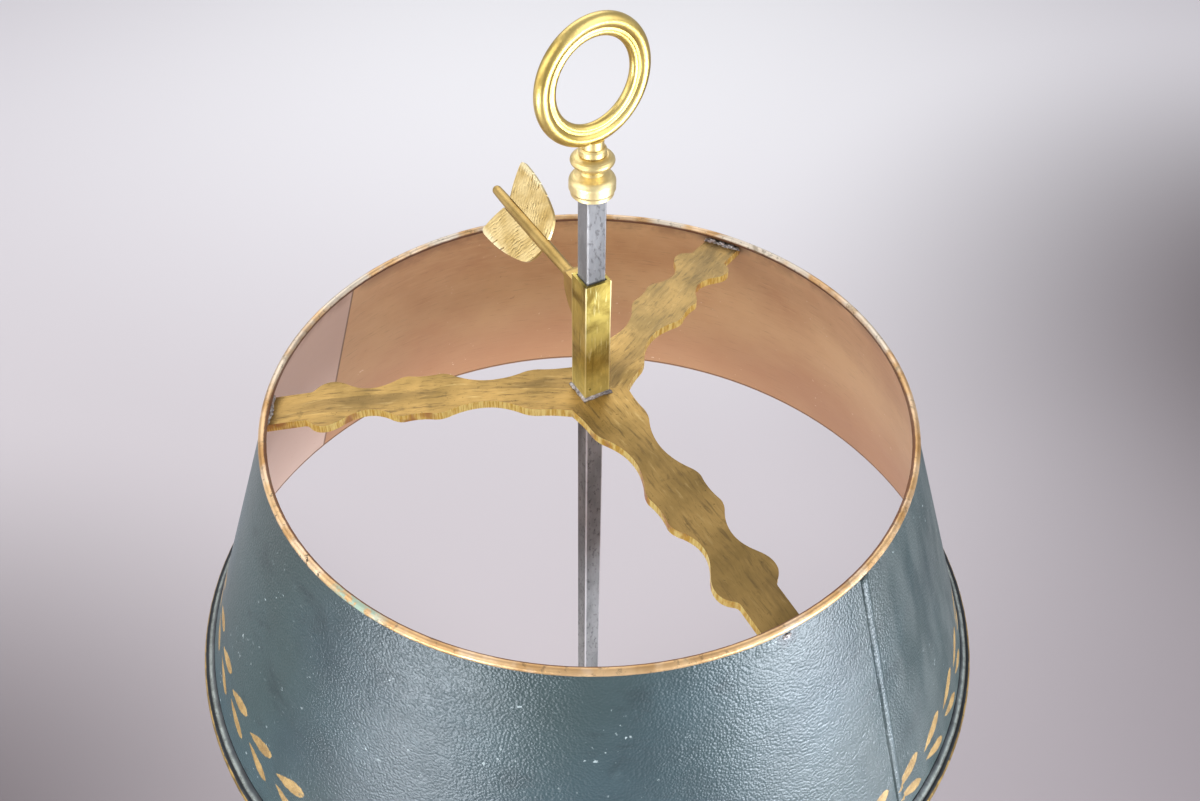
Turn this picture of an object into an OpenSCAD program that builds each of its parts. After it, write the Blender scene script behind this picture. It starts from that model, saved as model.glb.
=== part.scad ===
// Bouillotte lamp: a tin shade on a brass spider and square sleeve slides on a
// square steel rod, and an arrow-shaped screw clamps it. A dished brass base
// carries a switch pedestal, a stem, a junction bowl and two candle arms.
// The origin is the centre of the base on the table, +Z up. Lengths are in mm.

/* [Shade] */
// Diameter of the rolled upper rim, at its wire
shade_top_d = 280; // [265:1:300]
// Diameter of the rolled bottom bead, at its wire
shade_bottom_d = 375; // [350:1:400]
// Height of the shade from rim wire to bead wire
shade_h = 134; // [110:1:150]
// Thickness of the tin sheet
sheet_t = 0.7; // [0.5:0.1:1.1]
// Thickness of the rolled upper rim
rim_d = 3.5; // [3.3:0.1:4.6]
// Thickness of the rolled bottom bead
bead_d = 4.6; // [4:0.1:6.6]
// Thickness of the iron wire in both rolled edges
hem_wire_d = 2.1; // [1.4:0.1:2.2]
// Width of the lap where the two panels meet
lap_w = 3; // [2.5:0.5:8]
// Direction of the lap that shows at the front right
front_seam_turn = -42; // [-50:1:-20]
// Direction of the lap at the back left
back_seam_turn = 145; // [130:1:160]

/* [Spider] */
// Thickness of the spider plate
plate_t = 3.8; // [3:0.1:6]
// Height of the hub above the rim wire
hub_rise = 8; // [6:1:12]
// Fall of the arms from the hub to the shade
dome_drop = 12; // [10:1:16]
// Direction of the arm at the back
spider_turn = 61.5; // [55:0.5:68]
// Radius of the notches between the arms
notch_r = 16; // [15:0.5:20]
// Distance from the rod to the first cusp of an arm
first_cusp = 26; // [24:0.5:30]
// Length of the long waist of an arm
long_waist = 37.5; // [30:0.5:42]
// Length of the shallow scallop between the cusps
scallop_run = 18; // [12:0.5:22]
// Length of the short waist before the lobe
short_waist = 27.5; // [20:0.5:30]
// Length of the lobe
lobe_run = 12.5; // [9:0.5:14]
// Width of an arm at its cusps
cusp_w = 26; // [20:0.5:28]
// Width of an arm at its waists
waist_w = 13; // [10:0.5:16]
// Width of the straight tab that meets the shade
tab_w = 17.4; // [14:0.2:20]

/* [Rod and sleeve] */
// Width of the square rod
rod_w = 8.4; // [7.4:0.1:9.2]
// Width of the bevel on the rod's edges
rod_bevel = 0.5; // [0.2:0.1:0.8]
// Turn of the rod and sleeve about the rod's axis
rod_turn = 29; // [20:1:40]
// Height of the finial's foot above the table
finial_z = 627.7; // [600:0.1:650]
// Free rod between the sleeve and the finial as the shade stands
shade_gap = 39.7; // [20:0.1:60]
// Height of the sliding sleeve
sleeve_h = 60; // [50:1:75]
// Wall of the sliding sleeve
sleeve_wall = 1.3; // [1:0.1:1.8]
// Play between rod and sleeve on each side
sleeve_play = 0.35; // [0.2:0.05:0.5]

/* [Arrow screw] */
// Length of the arrow outside its boss
arrow_len = 72; // [62:1:77]
// Thickness of the arrow's shaft at its middle
arrow_d = 5.4; // [4.4:0.1:5.8]
// Thickness of the screw's threaded end
screw_d = 3.2; // [2.6:0.1:3.3]
// Distance of the screw from the middle of the sleeve's face
screw_side = 2.4; // [0:0.1:2.5]
// Distance of the screw below the sleeve's top
screw_drop = 6.5; // [6:0.5:9]
// Depth of the boss that carries the screw
boss_depth = 6.8; // [5:0.2:8]
// Height of the boss below the screw
boss_tail = 14; // [10:1:20]
// Reach of each feather vane from the arrow's axis
vane_w = 18.5; // [13:0.5:20]
// Length of each feather vane along the shaft
vane_len = 36; // [28:1:38]
// Sweep of the vane's tip towards the nock
vane_sweep = 5.6; // [3:0.2:7]
// Thickness of the vanes
vane_t = 1.4; // [1:0.1:2]
// Turn of the vanes from upright
vane_turn = 35; // [0:1:90]

/* [Finial] */
// Height of the turned baluster
baluster_h = 20.3; // [19:0.1:24]
// Largest diameter of the baluster
baluster_d = 18; // [16.8:0.1:20]
// Diameter of the short neck below the ring
neck_d = 8.6; // [6:0.2:9.4]
// Length of the neck between baluster and ring
neck_h = 1.2; // [1:0.1:4]
// Outer diameter of the ring
ring_d = 50.3; // [46:0.1:56]
// Width of the ring's moulding
ring_w = 8.6; // [7.8:0.1:9.6]
// Turn of the ring's plane about the rod
ring_turn = 37; // [0:1:90]

/* [Candle arms] */
// Distance from the rod to each light
arm_reach = 96; // [88:1:105]
// Thickness of the arms
arm_d = 9; // [8:0.5:11]
// Bore of the arms for the wires
arm_bore = 5.6; // [4:0.2:6.4]
// Radius of the first bend
bend_r = 18; // [14:1:22]
// Steepest fall of the arms
arm_fall = 40; // [25:1:50]
// Straight rise at the end of the arms
riser_h = 6; // [4:1:10]
// Diameter of the drip pans
pan_d = 54; // [44:1:64]
// Thickness of the drip pans
pan_t = 1.2; // [0.8:0.1:2]
// Outer diameter of the candle sleeves
candle_d = 24.6; // [23.6:0.1:26]
// Height of the candle sleeves
candle_h = 59; // [50:1:66]
// Diameter of the glass bulbs
bulb_d = 35; // [30:1:40]
// Height of the glass bulbs
bulb_h = 75; // [60:1:85]
// Diameter of the screw caps of the bulbs
cap_d = 13.9; // [13:0.1:14.5]

/* [Stem and bowl] */
// Diameter of the junction bowl
bowl_d = 54; // [50:1:60]
// Height of the junction bowl
bowl_h = 32; // [30:1:38]
// Wall of the junction bowl
bowl_wall = 4; // [3:0.5:5]
// Height of the bowl's cover
cover_h = 16; // [14:0.5:20]
// Height of the turned socket for the rod
socket_h = 24; // [20:1:32]
// Diameter of the fluted column
column_d = 19; // [17:0.5:24]
// Height of the fluted column
column_h = 66; // [50:1:80]
// Number of flutes
flutes = 12; // [8:1:16]
// Height of the knop above the column
knop_h = 14; // [10:1:18]
// Height of the collar below the column
collar_h = 6; // [4:0.5:9]
// Outer diameter of the tie tube
tie_d = 10; // [9:0.1:11]
// Bore of the tie tube
tie_bore = 7; // [5:0.1:7.4]

/* [Base] */
// Diameter of the dished base at its rim
base_d = 224; // [200:1:250]
// Height of the rim above the table
base_h = 33; // [28:1:38]
// Thickness of the dish's floor
floor_t = 2.5; // [2:0.1:4]
// Outer diameter of the foot ring
foot_d = 184; // [160:1:190]
// Height of the foot ring
foot_h = 10.8; // [9:0.2:12]
// Thickness of the felt
felt_t = 1.2; // [0.8:0.1:2]
// Diameter of the pedestal's drum
drum_d = 52; // [50:1:60]
// Height of the pedestal
pedestal_h = 52; // [50:1:60]
// Wall of the pedestal
drum_wall = 3.5; // [2.5:0.1:4]

/* [Switch and cable inlet] */
// Diameter of the switch knob
knob_d = 14; // [12:0.5:18]
// Length of the switch knob
knob_l = 11; // [8:0.5:14]
// Diameter of the switch's shaft
shaft_d = 4.9; // [4:0.1:5.4]
// Diameter of the switch's bush
bush_d = 9.8; // [9:0.1:11]
// Height of the switch above the pedestal's foot
switch_rise = 27; // [25:0.5:30]
// Height of the cable inlet above the dish's rim
inlet_rise = 6.5; // [6:0.5:8]
// Bore of the cable inlet
inlet_bore = 6.2; // [5:0.1:6.6]
// Thickness of the wires
wire_d = 3.2; // [2:0.1:3.4]

/* [Hidden] */
$fn = 72;

// Clearances
seat_gap = 0.05;
hem_gap = 0.1;
panel_gap = 0.1;
running_gap = 0.05;
slack = 0.3;
past = 1;

// Metals and finishes
brass = "#c2a552";
bright_brass = "#dcc06a";
old_brass = "#ae8f4a";
steel = "#a39da0";
iron = "#6f6a6a";
tin_green = "#40504d";
gilt = "#d0a055";
ivory = "#efe8d2";
black = "#2b2a28";
felt_green = "#35513c";
milk_glass = "#f4f1e8";

// Heights from the table up
foot_top = felt_t + foot_h;
floor_top = foot_top + floor_t;
pedestal_top = floor_top + pedestal_h;
column_z = pedestal_top + collar_h;
knop_z = column_z + column_h;
bowl_z = knop_z + knop_h;
cover_z = bowl_z + bowl_h;
socket_z = cover_z + cover_h;
shade_z = finial_z - shade_gap - sleeve_h - hub_rise;

// Shade
rim_r = shade_top_d / 2;
bead_r = shade_bottom_d / 2;
wall_foot_r = bead_r - bead_d / 2 + sheet_t / 2;
slope_r = (wall_foot_r - rim_r) / shade_h;
wall_r = sheet_t * sqrt(1 + slope_r * slope_r);
lap_turn = lap_w / bead_r * 180 / PI;
joggle_turn = lap_turn / 2;
panel_gap_turn = panel_gap / bead_r * 180 / PI;
roll_slit = 0.5;

// Spider
hub_flat_r = 14;
arm_end_r = rim_r;
dome_bands = 5;
shell_past = 5;
cusp_2 = first_cusp + long_waist;
cusp_3 = cusp_2 + scallop_run;
lobe_start = cusp_3 + short_waist;
lobe_end = lobe_start + lobe_run;
scallop_sag = 1.4;
hub_sag = 0.8;
lobe_swell = 3;
tab_corner = 3;
solder_w = 9;
solder_leg = 3;

// Rod, sleeve and clamp
sleeve_bore = rod_w + 2 * sleeve_play;
sleeve_w = sleeve_bore + 2 * sleeve_wall;
tenon_d = 5.8;
tenon_h = 9;
stud_d = 6;
stud_nut_h = 5;
stud_nut_d = 11.5;
stud_out = 7;
cover_web = 5;
sleeve_foot_z = shade_z + hub_rise;
sleeve_top_z = sleeve_foot_z + sleeve_h;
screw_z = sleeve_top_z - screw_drop;
boss_y = sleeve_w / 2 + boss_depth;
boss_w = 7;
boss_top = 3.6;
boss_face = 3.2;
solder_run = 1.5;
pin_mark_d = 1.1;
pin_mark_z = 5.5;
pin_mark_side = 3.6;
screw_tip_y = rod_w / 2 + 0.1;
arrow_end_y = boss_y + arrow_len;
vane_root_y = arrow_end_y - 13;
vane_gap = 0.05;
shaft_swell = 0.45;

// Finial
ring_r = (ring_d - ring_w) / 2;
ring_bead_r = 2.9;
ring_lip_r = 1.9;
ring_web = 3.6;
ring_z = finial_z + baluster_h + neck_h + ring_d / 2;

// Junction bowl and rod socket
bowl_floor = 5;
arm_z = bowl_z + bowl_h - 13;
arm_start = bowl_d / 2 - bowl_wall - 2.5;
knuckle_h = 3.4;
arm_straight = bowl_d / 2 + knuckle_h / 2 + 0.1;
socket_floor = 3;
rod_foot_z = socket_z + socket_floor;
nut_h = 3;
nut_d = 19.6;
washer_t = 1.2;
tie_foot_z = felt_t + 0.1;
tie_top_z = bowl_z + bowl_floor + nut_h + 1.5;
block_d = 18;
block_h = 14;

// Arms: two bends joined where the fall is steepest
swing_r = (arm_reach - arm_straight - bend_r * sin(arm_fall)) / (1 + sin(arm_fall));
swing_x = arm_reach - swing_r;
swing_z = arm_z - bend_r * (1 - cos(arm_fall)) + swing_r * cos(arm_fall);
pan_z = swing_z + riser_h;
arm_boss_d = 14;
arm_boss_h = 8;
nipple_in = 7;
nipple_out = 8;
cup_z = pan_z + pan_t;
cup_floor = 5.2;
cup_h = 18;
candle_wall = 1.1;
candle_z = cup_z + cup_floor;
candle_top = candle_z + candle_h;
holder_r = candle_d / 2 - candle_wall - slack;
holder_lip = 1.5;
holder_top = candle_top + holder_lip;
cap_depth = 22;
cap_out = 2.5;
bulb_z = holder_top + cap_out;
bulb_neck_r = cap_d / 2 - 0.4;
bulb_wall = 1;

// Pedestal, switch and inlet
drum_r = drum_d / 2;
switch_z = floor_top + switch_rise;
inlet_z = base_h + inlet_rise;
bezel_d = 18;
bezel_y = drum_r + 1.6;
switch_nut_h = 2.5;
switch_r = 8.5;
switch_front = sqrt(pow(drum_r - drum_wall, 2) - switch_r * switch_r) - 0.3;
switch_back = 8;
bush_y = bezel_y + switch_nut_h + 0.6;
knob_y = bush_y + 0.5;
gland_d = 8;
gland_flange_d = 13;
gland_y = drum_r + 2.6;
gland_in = sqrt(pow(drum_r - drum_wall, 2) - gland_flange_d * gland_flange_d / 4) - 3.2;
tie_slot_w = 4.6;
tie_slot_h = 5;

// Base
rim_bead_r = 2.8;
foot_ring_w = 6;
weight_r = foot_d / 2 - foot_ring_w - 2;
well_r = 13;
well_z = tie_foot_z + nut_h + washer_t;
washer_r = 12;

// Points along an ellipse's arc from angle a to angle b
function oval(c, rx, ry, a, b, n = 6) =
    [for (i = [0:n]) let (t = a + (b - a) * i / n) c + [rx * cos(t), ry * sin(t)]];
// Points from p to q along a shallow curve that stands s off its chord, without q
function bow(p, q, s, n = 6) =
    [for (i = [0:n - 1]) let (t = i / n, d = q - p, m = [-d.y, d.x] / norm(d))
        p + t * d + 4 * s * t * (1 - t) * m];
// A polyline with its corners cut, its ends kept
function cut_corners(p) = concat([p[0]],
    [for (i = [0:len(p) - 2]) each [0.75 * p[i] + 0.25 * p[i + 1], 0.25 * p[i] + 0.75 * p[i + 1]]],
    [p[len(p) - 1]]);
function turned_point(p, a) = [p.x * cos(a) - p.y * sin(a), p.x * sin(a) + p.y * cos(a)];
function reversed(points) = [for (i = [len(points) - 1:-1:0]) points[i]];
// Height of the spider's upper face at radius r, from the rim wire
function dome(r) = hub_rise - dome_drop * pow(max(0, (r - hub_flat_r) / (arm_end_r - hub_flat_r)), 2);
// Height of the spider's lower face in its outermost band
function plate_under(r) =
    let (a = hub_flat_r + (rim_r + shell_past - hub_flat_r) * (dome_bands - 1) / dome_bands,
        b = rim_r + shell_past)
        dome(a) + (dome(b) - dome(a)) * (r - a) / (b - a) - plate_t;
// Inner radius of the shade's wall at height z from the rim wire
function inner_wall(z) = rim_r - wall_r / 2 - slope_r * z;

module ring_tube(r, d) {
    rotate_extrude($fn = 180) translate([r, 0]) circle(d = d, $fn = 32);
}

module hex_nut(d, bore, h) {
    difference() {
        cylinder(d = d, h = h, $fn = 6);
        translate([0, 0, -past]) cylinder(d = bore + 2 * seat_gap, h = h + 2 * past);
    }
}

// ---- Shade, drawn with its rim wire at z = 0

module wall_sector(from, to, inside, outside) {
    rotate([0, 0, from])
        rotate_extrude(angle = to - from, $fn = 180)
            polygon([[rim_r + inside, 0], [rim_r + outside, 0],
                [wall_foot_r + outside, -shade_h], [wall_foot_r + inside, -shade_h]]);
}

module without_hems() {
    difference() {
        children();
        ring_tube(rim_r, rim_d + 2 * hem_gap);
        translate([0, 0, -shade_h]) ring_tube(bead_r, bead_d + 2 * hem_gap);
    }
}

// A raised strip over the neighbour's edge, joined to its own panel by the joggle
module lap(seam, way) {
    from = min(seam + way * lap_turn, seam - way * joggle_turn);
    step = min(seam - way * 0.2 * joggle_turn, seam - way * 0.8 * joggle_turn);
    wall_sector(from, from + lap_turn + joggle_turn, wall_r / 2 + seat_gap, 1.5 * wall_r + seat_gap);
    wall_sector(step, step + 0.6 * joggle_turn, 0, wall_r);
}

module panel_front_left() {
    far_seam = front_seam_turn + 360;
    color(tin_green)
        translate([0, 0, shade_z])
            without_hems()
                union() {
                    wall_sector(back_seam_turn, far_seam, -wall_r / 2, wall_r / 2);
                    lap(far_seam, 1);
                    lap(back_seam_turn, -1);
                }
}

module panel_back_right() {
    color(tin_green)
        translate([0, 0, shade_z])
            without_hems()
                wall_sector(front_seam_turn + panel_gap_turn, back_seam_turn - panel_gap_turn,
                    -wall_r / 2, wall_r / 2);
}

// A sheet edge rolled round a wire, open by a slit at its lower outer side
module hem_roll(r, d) {
    rotate_extrude($fn = 180)
        translate([r, 0])
            difference() {
                circle(d = d, $fn = 48);
                circle(d = hem_wire_d + 2 * seat_gap, $fn = 32);
                rotate([0, 0, -35]) translate([0, -roll_slit / 2]) square([d, roll_slit]);
            }
}

module rim_roll() {
    color(gilt) translate([0, 0, shade_z]) hem_roll(rim_r, rim_d);
}

module rim_wire() {
    color(iron) translate([0, 0, shade_z]) ring_tube(rim_r, hem_wire_d);
}

module bead_roll() {
    color(black) translate([0, 0, shade_z - shade_h]) hem_roll(bead_r, bead_d);
}

module bead_wire() {
    color(iron) translate([0, 0, shade_z - shade_h]) ring_tube(bead_r, hem_wire_d);
}

// ---- Spider

half_edge = cut_corners(cut_corners(concat(
    bow(turned_point([notch_r, 0], 60), [first_cusp, cusp_w / 2], -hub_sag, 2),
    bow([first_cusp, cusp_w / 2], [cusp_2, cusp_w / 2], -(cusp_w - waist_w) / 2, 5),
    bow([cusp_2, cusp_w / 2], [cusp_3, cusp_w / 2], -scallop_sag, 3),
    bow([cusp_3, cusp_w / 2], [lobe_start, cusp_w / 2], -(cusp_w - waist_w) / 2, 4),
    bow([lobe_start, cusp_w / 2], [lobe_end, tab_w / 2], lobe_swell, 4),
    [[lobe_end, tab_w / 2], [lobe_end + tab_corner, tab_w / 2], [rim_r + shell_past, tab_w / 2]])));

function arm_edges(a) = concat(
    [for (p = half_edge) turned_point([p.x, -p.y], a)],
    [for (i = [len(half_edge) - 1:-1:1]) turned_point(half_edge[i], a)]);

spider_outline = [for (k = [0:2]) each arm_edges(120 * k)];

module dome_shell() {
    radii = concat([0, hub_flat_r],
        [for (i = [1:dome_bands]) hub_flat_r + (rim_r + shell_past - hub_flat_r) * i / dome_bands]);
    rotate_extrude($fn = 120)
        polygon(concat([for (r = radii) [r, dome(r)]],
            [for (r = reversed(radii)) [r, dome(r) - plate_t]]));
}

module spider_plate() {
    low = -dome_drop - plate_t;
    color(old_brass)
        translate([0, 0, shade_z])
            difference() {
                intersection() {
                    rotate([0, 0, spider_turn])
                        translate([0, 0, low])
                            linear_extrude(hub_rise - low + past)
                                polygon(spider_outline);
                    dome_shell();
                    translate([0, 0, low])
                        cylinder(r1 = inner_wall(low) - panel_gap,
                            r2 = inner_wall(hub_rise + past) - panel_gap,
                            h = hub_rise + past - low, $fn = 180);
                }
                rotate([0, 0, rod_turn]) cube([sleeve_bore, sleeve_bore, 4 * hub_rise], center = true);
            }
}

module arm_solder() {
    wall = inner_wall(plate_under(rim_r)) - panel_gap;
    low = plate_under(wall) - solder_leg;
    turn = solder_w / rim_r * 180 / PI;
    color(iron)
        translate([0, 0, shade_z])
            for (k = [0:2])
                rotate([0, 0, spider_turn + 120 * k - turn / 2])
                    rotate_extrude(angle = turn, $fn = 180)
                        polygon([[wall, plate_under(wall) - seat_gap],
                            [wall - solder_leg, plate_under(wall - solder_leg) - seat_gap],
                            [inner_wall(low) - panel_gap, low]]);
}

// ---- Sleeve and clamp, drawn along the rod with the clamped face towards +Y

module on_rod(z) {
    translate([0, 0, z]) rotate([0, 0, rod_turn]) children();
}

module slide_sleeve() {
    color(brass)
        on_rod(sleeve_foot_z)
            difference() {
                translate([0, 0, sleeve_h / 2]) cube([sleeve_w, sleeve_w, sleeve_h], center = true);
                translate([0, 0, sleeve_h / 2])
                    cube([sleeve_bore, sleeve_bore, sleeve_h + 2 * past], center = true);
                translate([-screw_side, rod_w / 2, sleeve_h - screw_drop])
                    rotate([-90, 0, 0]) cylinder(d = screw_d + 2 * running_gap, h = sleeve_w);
                translate([-pin_mark_side, -sleeve_w / 2 + 0.6, pin_mark_z])
                    rotate([90, 0, 0]) cylinder(d = pin_mark_d, h = sleeve_wall);
            }
}

// A frame of solder round the sleeve's foot, sloping up to the brass
module sleeve_solder() {
    color(steel)
        on_rod(sleeve_foot_z)
            difference() {
                rotate([0, 0, 45])
                    cylinder(d1 = (sleeve_w + 2 * solder_run) * sqrt(2),
                        d2 = (sleeve_w + 0.2) * sqrt(2), h = solder_run, $fn = 4);
                cube([sleeve_w + 2 * seat_gap, sleeve_w + 2 * seat_gap, 3 * solder_run], center = true);
            }
}

module clamp_boss() {
    y0 = sleeve_w / 2 + seat_gap;
    color(bright_brass)
        on_rod(screw_z)
            difference() {
                translate([-screw_side - boss_w / 2, 0, 0])
                    rotate([90, 0, 90])
                        linear_extrude(boss_w)
                            polygon(concat([[y0, boss_top], [boss_y - 1.5, boss_top],
                                    [boss_y, boss_face], [boss_y, -boss_face]],
                                bow([boss_y, -boss_face], [y0, -boss_tail], 1.2, 5),
                                [[y0, -boss_tail]]));
                translate([-screw_side, 0, 0])
                    rotate([-90, 0, 0]) cylinder(d = screw_d + 2 * running_gap, h = boss_y + past);
            }
}

module on_arrow() {
    on_rod(screw_z) translate([-screw_side, 0, 0]) children();
}

module arrow_screw() {
    r = arrow_d / 2;
    head = r - shaft_swell + 0.1;
    nock = r - shaft_swell - 0.1;
    y0 = boss_y + slack;
    y1 = arrow_end_y;
    color(bright_brass)
        on_arrow()
            rotate([-90, 0, 0])
                rotate_extrude($fn = 48)
                    polygon(concat([[0, screw_tip_y], [screw_d / 2 - 0.3, screw_tip_y],
                            [screw_d / 2, screw_tip_y + 0.4], [screw_d / 2, y0], [r - 0.2, y0],
                            [r, y0 + 0.6], [r, y0 + 1.8], [head, y0 + 2.4]],
                        bow([head, y0 + 2.4], [nock, y1 - nock], -shaft_swell, 8),
                        oval([0, y1 - nock], nock, nock, 0, 90, 5)));
}

// One feather vane in the plane of the shaft, standing towards +Z before its turn
module vane() {
    root = arrow_d / 2 + vane_gap;
    front = [vane_root_y - vane_len, root];
    tip = [vane_root_y + vane_sweep, vane_w];
    shoulder = [vane_root_y - vane_len + 4.5, vane_w - 6.6];
    difference() {
        translate([-vane_t / 2, 0, 0])
            rotate([90, 0, 90])
                linear_extrude(vane_t)
                    polygon(cut_corners(cut_corners(concat(bow(front, shoulder, 1, 2),
                        bow(shoulder, tip, 2, 5),
                        bow(tip, [vane_root_y, root], 0.7, 4),
                        [[vane_root_y, root]]))));
        for (k = [0:2])
            translate([0, vane_root_y - 18 + 6.5 * k, vane_w + 0.4])
                rotate([-35, 0, 0]) cube([2 * vane_t, 0.7, 9], center = true);
    }
}

module vane_upper() {
    color(bright_brass) on_arrow() rotate([0, vane_turn, 0]) vane();
}

module vane_lower() {
    color(bright_brass) on_arrow() rotate([0, vane_turn + 180, 0]) vane();
}

// ---- Rod and finial

module square_rod() {
    half = rod_w / 2;
    edge = half - rod_bevel;
    color(steel)
        union() {
            on_rod(rod_foot_z)
                linear_extrude(finial_z - rod_foot_z)
                    polygon([[half, -edge], [half, edge], [edge, half], [-edge, half],
                        [-half, edge], [-half, -edge], [-edge, -half], [edge, -half]]);
            translate([0, 0, finial_z - past]) cylinder(d = tenon_d, h = tenon_h + past);
            translate([0, 0, socket_z - cover_web - stud_out])
                cylinder(d = stud_d, h = rod_foot_z - socket_z + cover_web + stud_out + past);
        }
}

module finial_baluster() {
    bore = tenon_d / 2 + seat_gap;
    big = baluster_d / 2;
    color(bright_brass)
        translate([0, 0, finial_z])
            rotate_extrude($fn = 96)
                polygon(concat([[0, tenon_h + 0.2], [bore, tenon_h + 0.2], [bore, 0], [big - 1.1, 0],
                        [big - 0.7, 0.3], [big - 0.7, 1.7], [big - 0.3, 2], [big, 2.8], [big, 5.6]],
                    oval([big - 3.3, 5.6], 3.3, 3, 12, 72, 5),
                    [[4.9, 9.5], [4.4, 10.3], [4.7, 11.2]],
                    oval([big - 5.1, 14.7], 4.6, 2.6, -62, 62, 8),
                    [[5, 17.1], [5.3, 17.5], [5.3, baluster_h - 0.8], [4.7, baluster_h],
                    [0, baluster_h]]));
}

module ring_section(grow) {
    translate([ring_r + ring_w / 2 - ring_bead_r, 0]) circle(r = ring_bead_r + grow, $fn = 32);
    translate([ring_r - ring_w / 2 + ring_lip_r, 0]) circle(r = ring_lip_r + grow, $fn = 32);
    translate([ring_r, 0]) square([ring_w - 2 * ring_lip_r, ring_web + 2 * grow], center = true);
}

module ring_body(grow) {
    translate([0, 0, ring_z])
        rotate([90, 0, ring_turn])
            rotate_extrude($fn = 120)
                ring_section(grow);
}

module finial_neck() {
    color(bright_brass)
        difference() {
            translate([0, 0, finial_z + baluster_h]) cylinder(d = neck_d, h = neck_h + 2);
            ring_body(seat_gap);
        }
}

module finial_ring() {
    color(bright_brass) ring_body(0);
}

// ---- Rod socket, cover and junction bowl

module rod_socket() {
    top = rod_w / 2 * sqrt(2) + 2.6;
    color(brass)
        difference() {
            translate([0, 0, socket_z])
                rotate_extrude($fn = 72)
                    polygon(concat([[0, 0], [10.5, 0], [10.5, 1.6]],
                        bow([10.5, 1.6], [top - 0.6, 8], 0.6, 4),
                        [[top - 0.6, 8], [top - 0.6, socket_h - 7]],
                        oval([top - 0.8, socket_h - 4], 2, 2.6, -80, 80, 6),
                        [[top - 0.8, socket_h], [0, socket_h]]));
            translate([0, 0, socket_z - past]) cylinder(d = stud_d + 2 * seat_gap, h = socket_floor + 2 * past);
            on_rod(rod_foot_z)
                translate([0, 0, socket_h / 2])
                    cube([rod_w + 2 * seat_gap, rod_w + 2 * seat_gap, socket_h], center = true);
        }
}

module rod_nut() {
    color(iron)
        translate([0, 0, socket_z - cover_web - stud_nut_h]) hex_nut(stud_nut_d, stud_d, stud_nut_h);
}

module bowl_cover() {
    r = bowl_d / 2 - 0.5;
    lip = bowl_d / 2 - bowl_wall - slack - 0.2;
    hole = stud_d / 2 + seat_gap;
    color(brass)
        translate([0, 0, cover_z])
            rotate_extrude($fn = 96)
                polygon(concat([[hole, cover_h], [10.5, cover_h], [10.5, cover_h - 2.5]],
                    bow([10.5, cover_h - 2.5], [r, 2.4], -2.4, 6),
                    [[r, 2.4], [r, 0], [lip, 0], [lip, -2.5], [lip - 2, -2.5], [lip - 2, 0.5],
                    [8.5, cover_h - 8.5], [8.5, cover_h - cover_web], [hole, cover_h - cover_web]]));
}

module junction_bowl() {
    r = bowl_d / 2;
    inside = r - bowl_wall;
    color(brass)
        difference() {
            translate([0, 0, bowl_z])
                rotate_extrude($fn = 96)
                    polygon(concat([[tie_d / 2 + seat_gap, 0], [10, 0], [11, 1.5]],
                        bow([11, 1.5], [r, bowl_h - 13], -4.5, 8),
                        [[r, bowl_h - 13], [r, bowl_h - 8], [r - 0.8, bowl_h - 6],
                        [r - 0.5, bowl_h], [inside, bowl_h], [inside, 14], [13, bowl_floor],
                        [tie_d / 2 + seat_gap, bowl_floor]]));
            translate([0, 0, arm_z])
                rotate([0, 90, 0]) cylinder(d = arm_d + 2 * seat_gap, h = 2 * bowl_d, center = true);
        }
}

module terminal_block() {
    color(ivory)
        translate([0, 0, tie_top_z])
            cylinder(d = block_d, h = block_h);
}

module tie_tube() {
    color(steel)
        difference() {
            translate([0, 0, tie_foot_z]) cylinder(d = tie_d, h = tie_top_z - tie_foot_z);
            translate([0, 0, tie_foot_z - past]) cylinder(d = tie_bore, h = tie_top_z);
            translate([0, tie_d / 2, inlet_z]) cube([tie_slot_w, tie_d, tie_slot_h], center = true);
            translate([0, -tie_d / 2, switch_z]) cube([tie_slot_w, tie_d, tie_slot_h], center = true);
        }
}

module tie_nuts() {
    color(iron) {
        translate([0, 0, tie_foot_z]) hex_nut(nut_d, tie_d, nut_h);
        translate([0, 0, bowl_z + bowl_floor]) hex_nut(nut_d, tie_d, nut_h);
    }
}

// ---- Stem

module stem_knop() {
    bore = tie_d / 2 + seat_gap;
    color(bright_brass)
        translate([0, 0, knop_z])
            rotate_extrude($fn = 96)
                polygon(concat([[bore, 0], [column_d / 2 + 1.5, 0]],
                    oval([column_d / 2 + 1.5, 2], 1.8, 1.6, -70, 70, 5),
                    bow([column_d / 2 + 0.4, 4], [column_d / 2 + 0.6, knop_h - 6], -1.6, 6),
                    oval([column_d / 2 + 2, knop_h - 3], 3.6, 2.7, -70, 70, 6),
                    [[10, knop_h], [bore, knop_h]]));
}

module stem_column() {
    color(brass)
        translate([0, 0, column_z])
            difference() {
                cylinder(d = column_d, h = column_h, $fn = 96);
                translate([0, 0, -past]) cylinder(d = tie_d + 2 * seat_gap, h = column_h + 2 * past);
                for (k = [0:flutes - 1])
                    rotate([0, 0, (k + 0.5) * 360 / flutes])
                        translate([column_d / 2 + 0.6, 0, 4])
                            cylinder(d = 3.4, h = column_h - 8, $fn = 32);
            }
}

module stem_collar() {
    bore = tie_d / 2 + seat_gap;
    color(bright_brass)
        translate([0, 0, pedestal_top])
            rotate_extrude($fn = 96)
                polygon(concat([[bore, 0], [column_d / 2 + 3.5, 0]],
                    oval([column_d / 2 + 2.5, collar_h / 2], 2.6, collar_h / 2 - 0.4, -75, 75, 6),
                    [[column_d / 2 + 1, collar_h], [bore, collar_h]]));
}

// ---- Pedestal, switch and cable inlet

module drum_core(grow) {
    translate([0, 0, floor_top]) cylinder(r = drum_r + grow, h = pedestal_h, $fn = 96);
}

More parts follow.
